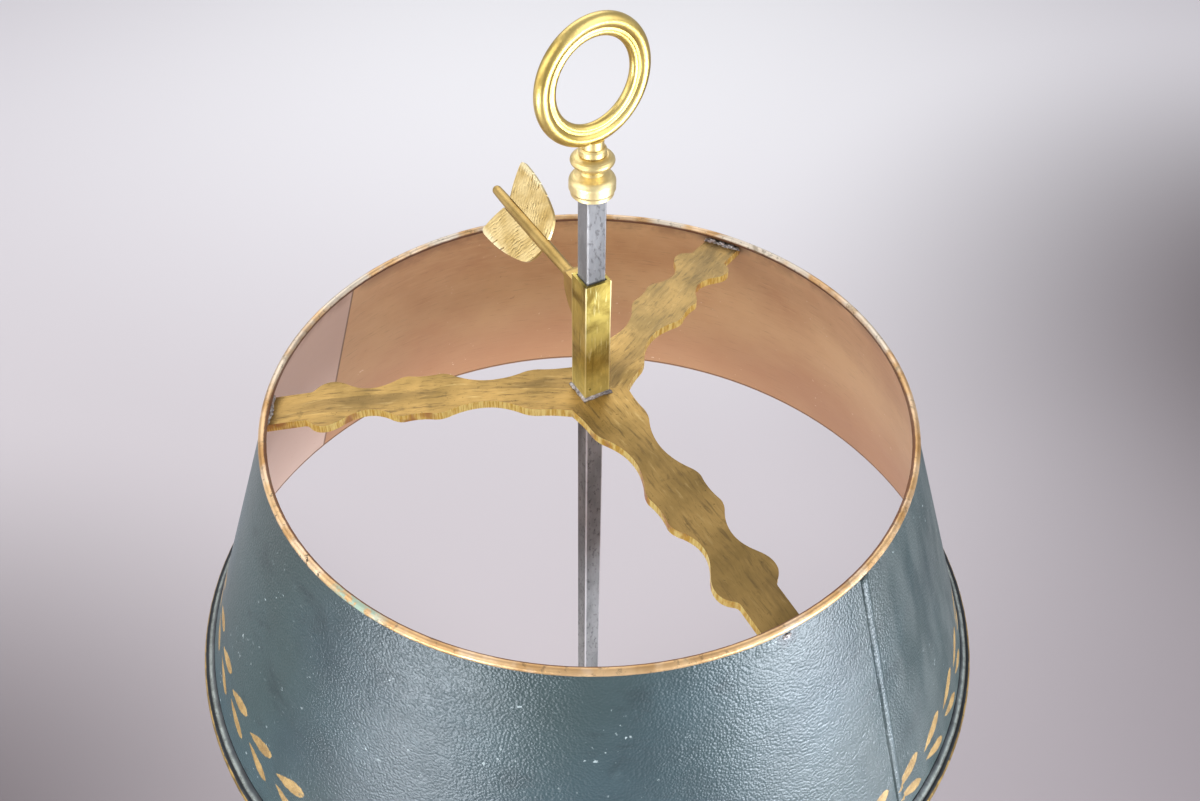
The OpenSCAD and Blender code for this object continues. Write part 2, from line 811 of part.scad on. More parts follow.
module pedestal() {
    inside = drum_r - drum_wall;
    h = pedestal_h;
    bore = tie_d / 2 + seat_gap;
    color(brass)
        difference() {
            translate([0, 0, floor_top])
                rotate_extrude($fn = 96)
                    polygon(concat([[inside, 0], [drum_r + 7.5, 0], [drum_r + 7.5, 2]],
                        bow([drum_r + 6.5, 3], [drum_r, 9], 1.4, 5),
                        [[drum_r, 9], [drum_r, h - 12]],
                        oval([drum_r, h - 10], 1.6, 1.8, -80, 80, 5),
                        bow([drum_r - 1, h - 8], [13.5, h - 1.5], 2, 6),
                        [[13.5, h - 1.5], [13, h], [bore, h], [bore, h - 3.5], [12, h - 4.5],
                        [inside, h - 12]]));
            translate([0, 0, switch_z])
                rotate([90, 0, 0]) cylinder(d = bush_d + 2 * seat_gap, h = 2 * drum_r);
            translate([0, 0, inlet_z])
                rotate([-90, 0, 0]) cylinder(d = gland_d + 2 * seat_gap, h = 2 * drum_r);
        }
}

module facing_front() {
    translate([0, 0, switch_z]) rotate([90, 0, 0]) children();
}

module switch_body() {
    color(black)
        facing_front()
            difference() {
                union() {
                    translate([0, 0, switch_back]) cylinder(r = switch_r, h = switch_front - switch_back);
                    translate([0, 0, switch_back + past]) cylinder(d = bush_d, h = bush_y - switch_back - past);
                }
                translate([0, 0, bush_y - 12]) cylinder(d = shaft_d + 2 * running_gap, h = 12 + past);
            }
}

module switch_bezel() {
    color(bright_brass)
        difference() {
            facing_front()
                difference() {
                    cylinder(d = bezel_d, h = bezel_y);
                    translate([0, 0, -past]) cylinder(d = bush_d + 2 * seat_gap, h = bezel_y + 2 * past);
                }
            drum_core(seat_gap);
        }
}

module switch_nut() {
    color(bright_brass)
        facing_front() translate([0, 0, bezel_y]) hex_nut(bush_d + 5, bush_d, switch_nut_h);
}

module switch_knob() {
    color(bright_brass)
        facing_front() {
            difference() {
                translate([0, 0, knob_y])
                    rotate_extrude($fn = 72)
                        polygon(concat([[0, 0], [knob_d / 2 - 1.2, 0], [knob_d / 2, 1.2]],
                            [[knob_d / 2, knob_l - 2.5]],
                            oval([knob_d / 2 - 2.4, knob_l - 2.4], 2.4, 2.4, 15, 90, 4),
                            [[0, knob_l]]));
                for (k = [0:11])
                    rotate([0, 0, 30 * k])
                        translate([knob_d / 2 + 0.5, 0, knob_y + 1.8])
                            cylinder(d = 2, h = knob_l, $fn = 24);
            }
            translate([0, 0, bush_y - 10]) cylinder(d = shaft_d, h = 10 + knob_y - bush_y + past);
        }
}

module facing_back() {
    translate([0, 0, inlet_z]) rotate([-90, 0, 0]) children();
}

module cable_gland() {
    color(black)
        difference() {
            facing_back() {
                difference() {
                    translate([0, 0, drum_r - drum_wall]) cylinder(d = gland_flange_d, h = gland_y - drum_r + drum_wall);
                    translate([0, 0, -past]) cylinder(d = inlet_bore, h = gland_y + 2 * past);
                }
            }
            drum_core(seat_gap);
        }
    color(black)
        facing_back()
            difference() {
                translate([0, 0, gland_in]) cylinder(d = gland_d, h = gland_y - gland_in - 0.5);
                translate([0, 0, gland_in - past]) cylinder(d = inlet_bore, h = gland_y + 2 * past);
            }
}

module gland_nut() {
    color(black)
        facing_back()
            difference() {
                translate([0, 0, gland_in + 0.2]) cylinder(d = gland_flange_d, h = 2.8);
                cylinder(d = gland_d + 2 * seat_gap, h = gland_y);
            }
}

module supply_wire() {
    color(ivory)
        union() {
            translate([0, 0, inlet_z]) sphere(d = wire_d, $fn = 32);
            translate([0, 0, inlet_z]) cylinder(d = wire_d, h = tie_top_z - seat_gap - inlet_z, $fn = 32);
            facing_back() cylinder(d = wire_d, h = gland_in - slack, $fn = 32);
        }
}

module switch_wire() {
    color(ivory)
        facing_front()
            translate([0, 0, wire_d / 2 + seat_gap])
                cylinder(d = wire_d - 0.4, h = switch_back - wire_d / 2 - 2 * seat_gap, $fn = 32);
}

// ---- Base

module base_dish() {
    r = base_d / 2;
    foot_r = foot_d / 2;
    bore = tie_d / 2 + seat_gap;
    wall = floor_t * 0.8;
    rim = base_h - rim_bead_r;
    color(old_brass)
        union() {
            rotate_extrude($fn = 180)
                polygon(concat([[bore, foot_top], [foot_r - foot_ring_w, foot_top], [foot_r - foot_ring_w, felt_t],
                        [foot_r, felt_t], [foot_r, foot_top - 3], [foot_r + 3, foot_top]],
                    bow([foot_r + 3, foot_top], [r, rim], -2.5, 8),
                    [[r, rim], [r - wall, rim]],
                    bow([r - wall, rim], [foot_r + 2, floor_top], 2.5, 8),
                    [[foot_r + 2, floor_top], [bore, floor_top]]));
            translate([0, 0, rim]) ring_tube(r - wall / 2, 2 * rim_bead_r);
        }
}

module base_weight() {
    color(iron)
        difference() {
            translate([0, 0, felt_t]) cylinder(r = weight_r, h = foot_h, $fn = 96);
            cylinder(d = tie_d + 2 * seat_gap, h = 2 * foot_top);
            cylinder(r = well_r, h = well_z);
        }
}

module base_washer() {
    color(steel)
        difference() {
            translate([0, 0, well_z - washer_t]) cylinder(r = washer_r, h = washer_t);
            cylinder(d = tie_d + 2 * seat_gap, h = foot_top);
        }
}

module felt_pad() {
    color(felt_green) cylinder(d = foot_d - 1, h = felt_t, $fn = 120);
}

// ---- Candle arms; side is 0 for the right arm and 180 for the left

module arm_side(side) {
    rotate([0, 0, side]) children();
}

module bend(x, z, r, from, to, d) {
    translate([x, 0, z])
        rotate([90, 0, 0])
            rotate([0, 0, from])
                rotate_extrude(angle = to - from, $fn = 120)
                    translate([r, 0]) circle(d = d, $fn = 32);
}

module arm_path(d, start) {
    translate([start, 0, arm_z]) rotate([0, 90, 0]) cylinder(d = d, h = arm_straight - start, $fn = 32);
    bend(arm_straight, arm_z - bend_r, bend_r, 90 - arm_fall, 90, d);
    bend(swing_x, swing_z, swing_r, -90 - arm_fall, 0, d);
}

// Short cylinders round the path where its straight meets the first bend,
// where the two bends meet and where the second bend meets the riser
module path_joints(d, h) {
    translate([arm_straight - h / 2, 0, arm_z]) rotate([0, 90, 0]) cylinder(d = d, h = h, $fn = 48);
    translate([arm_straight + bend_r * sin(arm_fall), 0, arm_z - bend_r * (1 - cos(arm_fall))])
        rotate([0, 90 + arm_fall, 0]) cylinder(d = d, h = h, center = true, $fn = 48);
    translate([arm_reach, 0, swing_z - h / 2]) cylinder(d = d, h = h, $fn = 48);
}

module candle_arm(side) {
    color(brass)
        arm_side(side)
            difference() {
                union() {
                    arm_path(arm_d, arm_start);
                    translate([arm_reach, 0, swing_z]) cylinder(d = arm_d, h = riser_h, $fn = 32);
                    path_joints(arm_d + 2.6, knuckle_h);
                    translate([arm_reach, 0, pan_z - arm_boss_h]) cylinder(d = arm_boss_d, h = arm_boss_h);
                }
                arm_path(arm_bore, arm_start - past);
                path_joints(arm_bore + 0.6, knuckle_h);
                translate([arm_reach, 0, swing_z]) cylinder(d = arm_bore, h = riser_h, $fn = 32);
                translate([arm_reach, 0, pan_z - nipple_in])
                    cylinder(d = tie_d + 2 * seat_gap, h = nipple_in + past);
            }
}

module arm_right() {
    candle_arm(0);
}

module arm_left() {
    candle_arm(180);
}

module arm_wire(side) {
    d = min(wire_d, arm_bore - 0.8);
    color(ivory)
        arm_side(side)
            union() {
                arm_path(d, block_d / 2 + seat_gap);
                path_joints(d + 0.5, knuckle_h - 1);
                translate([arm_reach, 0, swing_z])
                    cylinder(d = d, h = candle_z + nipple_out - swing_z, $fn = 32);
            }
}

module arm_wire_right() {
    arm_wire(0);
}

module arm_wire_left() {
    arm_wire(180);
}

module at_light(side, z) {
    arm_side(side) translate([arm_reach, 0, z]) children();
}

module drip_pan(side) {
    r = pan_d / 2;
    bore = tie_d / 2 + seat_gap;
    color(bright_brass)
        at_light(side, pan_z)
            rotate_extrude($fn = 96)
                polygon(concat([[bore, 0], [r - 7, 0]],
                    bow([r - 7, 0], [r, 4.6], -0.7, 4),
                    oval([r - 0.2, 5], 0.9, 0.8, -60, 150, 5),
                    bow([r - 1.2, 4.6], [r - 7.4, pan_t], 0.7, 4),
                    [[r - 7.4, pan_t], [bore, pan_t]]));
}

module drip_pan_right() {
    drip_pan(0);
}

module drip_pan_left() {
    drip_pan(180);
}

module candle_cup(side) {
    bore = tie_d / 2 + seat_gap;
    inside = candle_d / 2 + slack;
    out = inside + 2;
    color(brass)
        at_light(side, cup_z)
            rotate_extrude($fn = 96)
                polygon(concat([[bore, 0], [out - 4, 0], [out - 3.6, 1]],
                    bow([out - 5, 2], [out, 8], -1, 4),
                    bow([out, 8], [out, cup_h - 3], 0.6, 4),
                    oval([out + 0.2, cup_h - 1.4], 1.3, 1.3, -80, 90, 5),
                    [[inside, cup_h], [inside, cup_floor], [bore, cup_floor]]));
}

module candle_cup_right() {
    candle_cup(0);
}

module candle_cup_left() {
    candle_cup(180);
}

module light_nipples() {
    z0 = pan_z - nipple_in + 0.2;
    color(steel)
        for (side = [0, 180])
            at_light(side, z0)
                difference() {
                    cylinder(d = tie_d, h = candle_z + nipple_out - z0);
                    translate([0, 0, -past]) cylinder(d = tie_bore, h = candle_z + nipple_out - z0 + 2 * past);
                }
}

module candle_sleeve(side) {
    color(ivory)
        at_light(side, candle_z)
            difference() {
                cylinder(d = candle_d, h = candle_h);
                translate([0, 0, -past]) cylinder(d = candle_d - 2 * candle_wall, h = candle_h + 2 * past);
            }
}

module candle_sleeve_right() {
    candle_sleeve(0);
}

module candle_sleeve_left() {
    candle_sleeve(180);
}

module lampholder(side) {
    h = holder_top - candle_z;
    bore = tie_d / 2 + seat_gap;
    socket = cap_d / 2 + seat_gap;
    color(black)
        at_light(side, candle_z)
            rotate_extrude($fn = 72)
                polygon([[bore, 0], [8.4, 0], [8.4, h - 34], [holder_r, h - 30],
                    [holder_r, h - holder_lip + seat_gap], [candle_d / 2, h - holder_lip + seat_gap],
                    [candle_d / 2, h], [socket, h], [socket, h - cap_depth - 0.2],
                    [2, h - cap_depth - 0.2], [2, nipple_out + 0.2], [bore, nipple_out + 0.2]]);
}

module lampholder_right() {
    lampholder(0);
}

module lampholder_left() {
    lampholder(180);
}

module bulb_cap(side) {
    r = cap_d / 2;
    color(steel)
        at_light(side, holder_top - cap_depth)
            rotate_extrude($fn = 72)
                polygon([[0, 0], [2.5, 0], [3.5, 1.5], [r, 4], [r, cap_depth + cap_out], [0, cap_depth + cap_out]]);
}

module bulb_cap_right() {
    bulb_cap(0);
}

module bulb_cap_left() {
    bulb_cap(180);
}

// The candle-shaped bulb: a swelling neck, a full body and a drawn-out tip
function bulb_side(r, neck, low, high) = concat(
    bow([neck, low], [r, high * 0.36], -2.4, 6),
    bow([r, high * 0.36], [r * 0.36, high * 0.86], -2.6, 8),
    bow([r * 0.36, high * 0.86], [0, high], 0.5, 4),
    [[0, high]]);

module bulb_glass(side) {
    color(milk_glass)
        at_light(side, bulb_z)
            rotate_extrude($fn = 72)
                polygon(concat(bulb_side(bulb_d / 2, bulb_neck_r, 0, bulb_h),
                    reversed(bulb_side(bulb_d / 2 - bulb_wall, bulb_neck_r - bulb_wall, 0, bulb_h - 2))));
}

module bulb_glass_right() {
    bulb_glass(0);
}

module bulb_glass_left() {
    bulb_glass(180);
}

panel_front_left();
panel_back_right();
rim_roll();
rim_wire();
bead_roll();
bead_wire();
spider_plate();
arm_solder();
slide_sleeve();
sleeve_solder();
clamp_boss();
arrow_screw();
vane_upper();
vane_lower();
square_rod();
finial_baluster();
finial_neck();
finial_ring();
rod_socket();
rod_nut();
bowl_cover();
junction_bowl();
terminal_block();
tie_tube();
tie_nuts();
stem_knop();
stem_column();
stem_collar();
pedestal();
switch_body();
switch_bezel();
switch_nut();
switch_knob();
cable_gland();
gland_nut();
supply_wire();
switch_wire();
base_dish();
base_weight();
base_washer();
felt_pad();
arm_right();
arm_left();
arm_wire_right();
arm_wire_left();
drip_pan_right();
drip_pan_left();
candle_cup_right();
candle_cup_left();
light_nipples();
candle_sleeve_right();
candle_sleeve_left();
lampholder_right();
lampholder_left();
bulb_cap_right();
bulb_cap_left();
bulb_glass_right();
bulb_glass_left();
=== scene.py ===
"""A bouillotte lamp with a japanned tin shade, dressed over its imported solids."""
import math

import bmesh
import bpy
from mathutils import Matrix, Vector, noise


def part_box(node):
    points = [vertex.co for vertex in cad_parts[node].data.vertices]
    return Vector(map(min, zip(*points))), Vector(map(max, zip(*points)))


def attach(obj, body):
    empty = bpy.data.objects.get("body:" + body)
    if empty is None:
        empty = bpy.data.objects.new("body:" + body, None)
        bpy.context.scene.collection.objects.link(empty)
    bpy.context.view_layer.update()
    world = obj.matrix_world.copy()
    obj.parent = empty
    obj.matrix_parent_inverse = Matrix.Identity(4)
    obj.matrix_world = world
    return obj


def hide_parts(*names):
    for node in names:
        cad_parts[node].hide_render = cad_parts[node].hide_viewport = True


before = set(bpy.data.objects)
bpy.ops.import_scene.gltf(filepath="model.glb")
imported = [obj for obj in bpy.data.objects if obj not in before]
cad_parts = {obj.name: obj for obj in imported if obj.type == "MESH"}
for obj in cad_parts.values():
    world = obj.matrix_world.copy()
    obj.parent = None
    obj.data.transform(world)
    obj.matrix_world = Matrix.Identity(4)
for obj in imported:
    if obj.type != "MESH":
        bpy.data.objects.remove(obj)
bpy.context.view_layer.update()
MM = 0.001


# ---- The photograph's camera

CAMERA_PLACE = (0, -0.39823, 0.89135)
CAMERA_YAW, CAMERA_PITCH, CAMERA_ROLL = 0.5975, 42.936, 0.9086
SENSOR_WIDTH, FOCAL_LENGTH = 36.0, 37.5


def set_camera():
    yaw, pitch, roll = (math.radians(a) for a in (CAMERA_YAW, CAMERA_PITCH, CAMERA_ROLL))
    forward = Vector((math.sin(yaw) * math.cos(pitch), math.cos(yaw) * math.cos(pitch), -math.sin(pitch)))
    level = Vector((math.cos(yaw), -math.sin(yaw), 0))
    over = level.cross(forward)
    right = math.cos(roll) * level + math.sin(roll) * over
    up = math.cos(roll) * over - math.sin(roll) * level
    lens = bpy.data.cameras.new("camera")
    lens.sensor_width = SENSOR_WIDTH
    lens.lens = FOCAL_LENGTH
    lens.clip_end = 20
    camera = bpy.data.objects.new("camera", lens)
    bpy.context.scene.collection.objects.link(camera)
    turn = Matrix((right, up, -forward)).transposed().to_4x4()
    camera.matrix_world = Matrix.Translation(CAMERA_PLACE) @ turn
    bpy.context.scene.camera = camera


set_camera()


# ---- Measures taken from the solids

def middle(node):
    low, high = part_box(node)
    return (low + high) / 2


def reach(node):
    low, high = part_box(node)
    return (high.x - low.x) / 2


RIM_Z, BEAD_Z = middle("rim_wire").z, middle("bead_wire").z
RIM_TUBE = (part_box("rim_roll")[1].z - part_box("rim_roll")[0].z) / 2
BEAD_TUBE = (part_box("bead_roll")[1].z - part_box("bead_roll")[0].z) / 2
RIM_R, BEAD_R = reach("rim_roll") - RIM_TUBE, reach("bead_roll") - BEAD_TUBE
HALF_SHEET = 0.35 * MM
WALL_SLOPE = (BEAD_R - BEAD_TUBE + HALF_SHEET - RIM_R) / (RIM_Z - BEAD_Z)
SLEEVE_FOOT, SLEEVE_TOP = (corner_wear_and_highlight.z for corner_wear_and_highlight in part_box("slide_sleeve"))
HALF_SLEEVE, HALF_ROD = 5.85 * MM, 4.2 * MM

# Directions from above: the rod's faces, the spider's first arm, the vanes, the seams and the outer blob
ROD_TURN = math.radians(29)
ACROSS = Vector((math.cos(ROD_TURN), math.sin(ROD_TURN), 0))
AWAY = Vector((-math.sin(ROD_TURN), math.cos(ROD_TURN), 0))
UP = Vector((0, 0, 1))
SCREW = -2.4 * MM * ACROSS + UP * (SLEEVE_TOP - 6.5 * MM)
SPIDER_TURN = math.radians(61.5)
ARM_STEP = math.radians(120)
VANE_TURN = math.radians(35)
FRONT_SEAM = math.radians(-42)
BACK_SEAM = math.radians(145)
BLOB_TURN = math.radians(-59)


def radial(turn):
    """The level direction out from the rod's axis, and the one beside it."""
    return Vector((math.cos(turn), math.sin(turn), 0)), Vector((-math.sin(turn), math.cos(turn), 0))


def on_wall(turn, height, out=0.0):
    """A place on the shade's wall, from its direction, its height from the rim in mm and its stand-off."""
    r = RIM_R - WALL_SLOPE * height * MM + out
    return Vector((r * math.cos(turn), r * math.sin(turn), RIM_Z + height * MM))


def linear(code):
    """A display colour such as C4946A as the linear colour that a shader takes."""
    parts = [int(code[i:i + 2], 16) / 255 for i in (0, 2, 4)]
    return tuple(c / 12.92 if c < 0.04045 else ((c + 0.055) / 1.055) ** 2.4 for c in parts) + (1.0,)


# ---- Finishes as expressions on surface values

class Value:
    """A number or colour that changes over a surface."""

    def __init__(self, finish, socket):
        self.finish, self.socket = finish, socket

    def __add__(self, other):
        return self.finish.maths("ADD", self, other)

    def __sub__(self, other):
        return self.finish.maths("SUBTRACT", self, other)

    def __rsub__(self, other):
        return self.finish.maths("SUBTRACT", other, self)

    def __mul__(self, other):
        return self.finish.maths("MULTIPLY", self, other)

    def __truediv__(self, other):
        return self.finish.maths("DIVIDE", self, other)

    def __pow__(self, other):
        return self.finish.maths("POWER", self, other)

    __radd__ = __add__
    __rmul__ = __mul__

    def size(self):
        return self.finish.maths("ABSOLUTE", self)

    def top(self, other):
        return self.finish.maths("MAXIMUM", self, other)

    def least(self, other):
        return self.finish.maths("MINIMUM", self, other)

    def rise(self, low, high):
        """0 below low, 1 above high and smooth between; falls where low is above high."""
        return self.finish.node("MapRange", {"interpolation_type": "SMOOTHSTEP", "clamp": True},
                                {"Value": self, "From Min": low, "From Max": high})


class Finish:
    """A material whose sockets are filled by expressions."""

    def __init__(self, name, rough=0.5, metal=0.0, **constants):
        self.material = bpy.data.materials.new(name)
        self.material.use_nodes = True
        self.tree = self.material.node_tree
        self.tree.nodes.clear()
        self.skin = self.tree.nodes.new("ShaderNodeBsdfPrincipled")
        last = self.tree.nodes.new("ShaderNodeOutputMaterial")
        self.tree.links.new(self.skin.outputs[0], last.inputs[0])
        self.set(Roughness=rough, Metallic=metal, **constants)

    def fill(self, socket, value):
        if isinstance(value, Value):
            self.tree.links.new(value.socket, socket)
        else:
            socket.default_value = value

    def set(self, **values):
        for name, value in values.items():
            self.fill(self.skin.inputs[name.replace("_", " ")], value)
        return self

    def node(self, kind, settings=None, inputs=None, out=0):
        made = self.tree.nodes.new("ShaderNode" + kind)
        for name, value in (settings or {}).items():
            setattr(made, name, value)
        for name, value in (inputs or {}).items():
            self.fill(made.inputs[name], value)
        return Value(self, made.outputs[out])

    def maths(self, operation, *terms):
        return self.node("Math", {"operation": operation}, dict(enumerate(terms)))

    def place(self):
        return self.node("TexCoord", out="Object")

    def parts(self):
        place = self.place()
        return [self.node("SeparateXYZ", inputs={0: place}, out=i) for i in range(3)]

    def point(self, x, y, z):
        return self.node("CombineXYZ", inputs={0: x, 1: y, 2: z})

    def along(self, direction, origin=(0, 0, 0)):
        """Distance from origin along a direction, in metres."""
        off = self.node("VectorMath", {"operation": "SUBTRACT"}, {0: self.place(), 1: tuple(origin)})
        return self.dot(off, direction)

    def facing(self, direction):
        """How far the surface faces a direction, from -1 to 1."""
        return self.dot(self.node("TexCoord", out="Normal"), direction)

    def dot(self, vector, direction):
        return self.node("VectorMath", {"operation": "DOT_PRODUCT"},
                         {0: vector, 1: tuple(direction)}, "Value")

    def noise(self, scale, detail=3.0, rough=0.55, twist=0.0, at=None, stretch=None):
        at = at or self.place()
        if stretch:
            at = self.node("VectorMath", {"operation": "MULTIPLY"}, {0: at, 1: stretch})
        return self.node("TexNoise", {}, {"Vector": at, "Scale": scale, "Detail": detail,
                                          "Roughness": rough, "Distortion": twist})

    def polar(self):
        """Height, distance from the rod's axis and direction, as z, r and turn."""
        x, y, z = self.parts()
        return z, self.maths("SQRT", x * x + y * y), self.maths("ARCTAN2", y, x)

    def cells(self, scale, soft):
        return self.node("TexVoronoi", {"feature": "SMOOTH_F1"},
                         {"Vector": self.place(), "Scale": scale, "Smoothness": soft}, "Distance")

    def mix(self, share, a, b):
        """Colour a, turning into colour b as share goes from 0 to 1."""
        return self.node("Mix", {"data_type": "RGBA"}, {0: share, 6: a, 7: b}, 2)

    def bump(self, height, distance, strength=1.0, over=None):
        inputs = {"Height": height, "Distance": distance, "Strength": strength}
        if over:
            inputs["Normal"] = over
        return self.node("Bump", {}, inputs)


# ---- Tin shade

LAUREL_R = 177.0  # mm, the wall's radius at the border
LAUREL_CELL = math.radians(8.0) * LAUREL_R
LAUREL_DEPTH = 112.5  # mm below the rim
LEAVES = (((0.8, 2.4), (20.5, 7.8), 5.8), ((1.4, -2.6), (19.5, -7.8), 4.9))  # start, end and width


def leaf(s, v, start, end, width):
    """Mask of one painted leaf between two points of its cell, widest past its middle."""
    start, end = Vector(start), Vector(end)
    run = end - start
    half = run.length / 2
    run.normalize()
    mid = (start + end) / 2
    a = (s - mid.x) * (run.x / half) + (v - mid.y) * (run.y / half)
    b = (s - mid.x) * -run.y + (v - mid.y) * run.x
    swell = (1 - a * a).top(0.0) ** 0.62 * (1 + 0.45 * a) * (width / 2)
    return (swell - b.size()).rise(-0.15, 0.35)


def japanned_tin():
    f = Finish("japanned_tin")
    z, r, turn = f.polar()
    depth = RIM_Z - z
    proud = r - (RIM_R + WALL_SLOPE * depth)
    outside = proud.rise(-0.00004, 0.00004)

    # Japanning: blue-green, smudged and scuffed, in an orange-peel skin
    cloud = f.noise(9, 4, 0.6)
    smudge = f.noise(26, 5, 0.65, 0.6, stretch=(1, 1, 2.2))
    green = f.mix(cloud.rise(0.35, 0.68), linear("2A393D"), linear("384B50"))
    green = f.mix(f.noise(6, 2, 0.5).rise(0.42, 0.58) * 0.5, green, linear("36443F"))
    green = f.mix(smudge.rise(0.56, 0.70) * 0.5, green, linear("202D30"))
    green = f.mix(f.noise(70, 6, 0.7).rise(0.62, 0.72) * 0.2, green, linear("5B6C6F"))
    speck = f.noise(620, 2, 0.5).rise(0.70, 0.76) * f.noise(60, 3).rise(0.5, 0.66)
    green = f.mix(speck * 0.6, green, linear("9FACAA"))
    dust = f.noise(90, 3, 0.5, at=f.point(turn * 0.17, z * 0.25, 0.4)).rise(0.30, 0.70)
    green = f.mix(dust * (turn + 0.35).size().rise(0.75, 0.25) * 0.32, green, linear("6C7270"))
    chip = f.noise(330, 3, 0.6).rise(0.66, 0.70) * f.noise(42, 3, 0.6).rise(0.54, 0.62)
    green = f.mix(chip * 0.7, green, linear("B4C0C0"))
    green = f.mix(near_blob(f), green, linear("2A2D2F"))

    # A worn gold laurel above the bead, leaves in pairs that open to one side
    wobble = (f.noise(30, 2) - 0.5) * 3.0
    s = f.maths("WRAP", (turn + math.radians(146.6)) * LAUREL_R + wobble * 0.7, LAUREL_CELL, 0.0)
    drift = 4.6 * f.maths("COSINE", turn + math.radians(20))
    fray = (f.noise(420, 3, 0.7) - 0.5) * 1.6
    v = LAUREL_DEPTH - depth * 1000.0 + drift + wobble * 0.6 + fray
    upper, lower = (leaf(s, v, *shape) for shape in LEAVES)
    leaves = upper.top(lower)
    brush = f.noise(900, 3, 0.6, at=f.point(turn * 0.02, z, r), stretch=(1, 1.6, 1))
    paint = leaves * (1 - f.noise(120, 4, 0.7).rise(0.60, 0.70) * 0.8) * (0.75 + 0.25 * brush)
    gold = f.mix(f.noise(160, 3).rise(0.3, 0.7), linear("957441"), linear("B8965C"))
    green = f.mix(paint, green, gold)
    # A paler band along the top of the seam ridges: painted highlight
    crest_highlight = proud.rise(0.0013, 0.0019)
    green = f.mix(crest_highlight * 0.4, green, linear("8496A0"))

    # Bronzed inside, streaked round the shade, stained at the solder, painted shade towards the bottom,
    # and paler past the seam, partly its own tone and partly painted sheen
    streak = f.noise(60, 4, 0.6, at=f.point(turn * 0.16, z * 8.0, 0.0))
    cloud_in = f.noise(14, 4, 0.6, at=f.point(turn * 0.14, z, 0.3))
    bronze = f.mix(cloud_in.rise(0.32, 0.68), linear("C79668"), linear("DCB381"))
    bronze = f.mix(streak.rise(0.45, 0.75) * 0.45, bronze, linear("DDB787"))
    rub = f.noise(150, 4, 0.65, at=f.point(turn * 0.09, z * 5.0, 0.9))
    # Darker towards the bottom of the inside: painted shade
    bronze = f.mix(depth.rise(0.035, 0.12) * 0.75, bronze, linear("A87859"))
    bronze = f.mix(rub.rise(0.56, 0.70) * 0.3, bronze, linear("8E6747"))
    fleck = f.noise(420, 2, 0.5).rise(0.71, 0.76) * f.noise(30, 3).rise(0.46, 0.60)
    bronze = f.mix(fleck * 0.6, bronze, linear("F0DCC0"))
    # Paler past the back seam: partly the panel's own tone, partly painted sheen; a dark line along the
    # seam itself
    seam = (turn - BACK_SEAM) * 150.0
    bronze = f.mix(seam.rise(-0.2, 0.3) * 0.85, bronze, linear("D2B7A8"))
    bronze = f.mix(seam.size().rise(0.9, 0.3) * 0.75, bronze, linear("6F4C36"))
    ragged = f.noise(45, 4, 0.7)
    stain = depth.rise(0.013, 0.003) * ragged.rise(0.35, 0.6)
    bronze = f.mix(stain * 0.5, bronze, linear("86603F"))
    from_arm = f.maths("WRAP", turn - SPIDER_TURN, ARM_STEP / 2, -ARM_STEP / 2).size() * 140.0
    soot = (from_arm + ragged * 14.0).rise(26.0, 12.0) * (depth * 1000.0 + ragged * 9.0).rise(13.0, 6.0)
    bronze = f.mix(soot * 0.8, bronze, linear("4A4440"))
    bronze = f.mix(f.noise(190, 4, 0.75).rise(0.66, 0.74) * 0.35, bronze, linear("96694A"))

    rough_out = 0.26 + 0.12 * f.noise(40, 3) + 0.08 * smudge + paint * 0.15
    rough_in = 0.36 + 0.14 * streak
    grain = 0.3 + 1.1 * f.noise(34, 3, 0.6)
    peel = (0.8 - f.cells(960, soft=0.2)) * grain + paint * 0.2
    skin = f.bump(peel * outside + streak * (1 - outside) * 0.2, 0.00032, 0.7)
    creases = f.noise(30, 3, 0.55, 0.8, at=f.point(turn * 0.07, z, 0.7))
    f.set(Base_Color=f.mix(outside, bronze, green),
          Roughness=rough_out * outside + rough_in * (1 - outside),
          Metallic=(1 - outside) * 0.2 + paint * outside * 0.3,
          Normal=f.bump(f.noise(16, 2, 0.5) + creases * outside * 0.5, 0.0014, 0.8, skin))
    return f.material


def near_blob(f):
    """Burnt japanning round the blob of solder that shows outside, at the front arm."""
    blob = tuple(on_wall(BLOB_TURN, -3.0))
    gap = f.node("VectorMath", {"operation": "DISTANCE"}, {0: f.place(), 1: blob}, "Value")
    return (gap * 1000.0 + (f.noise(260, 4, 0.7) - 0.5) * 9.0).rise(6.5, 2.0) * 0.8


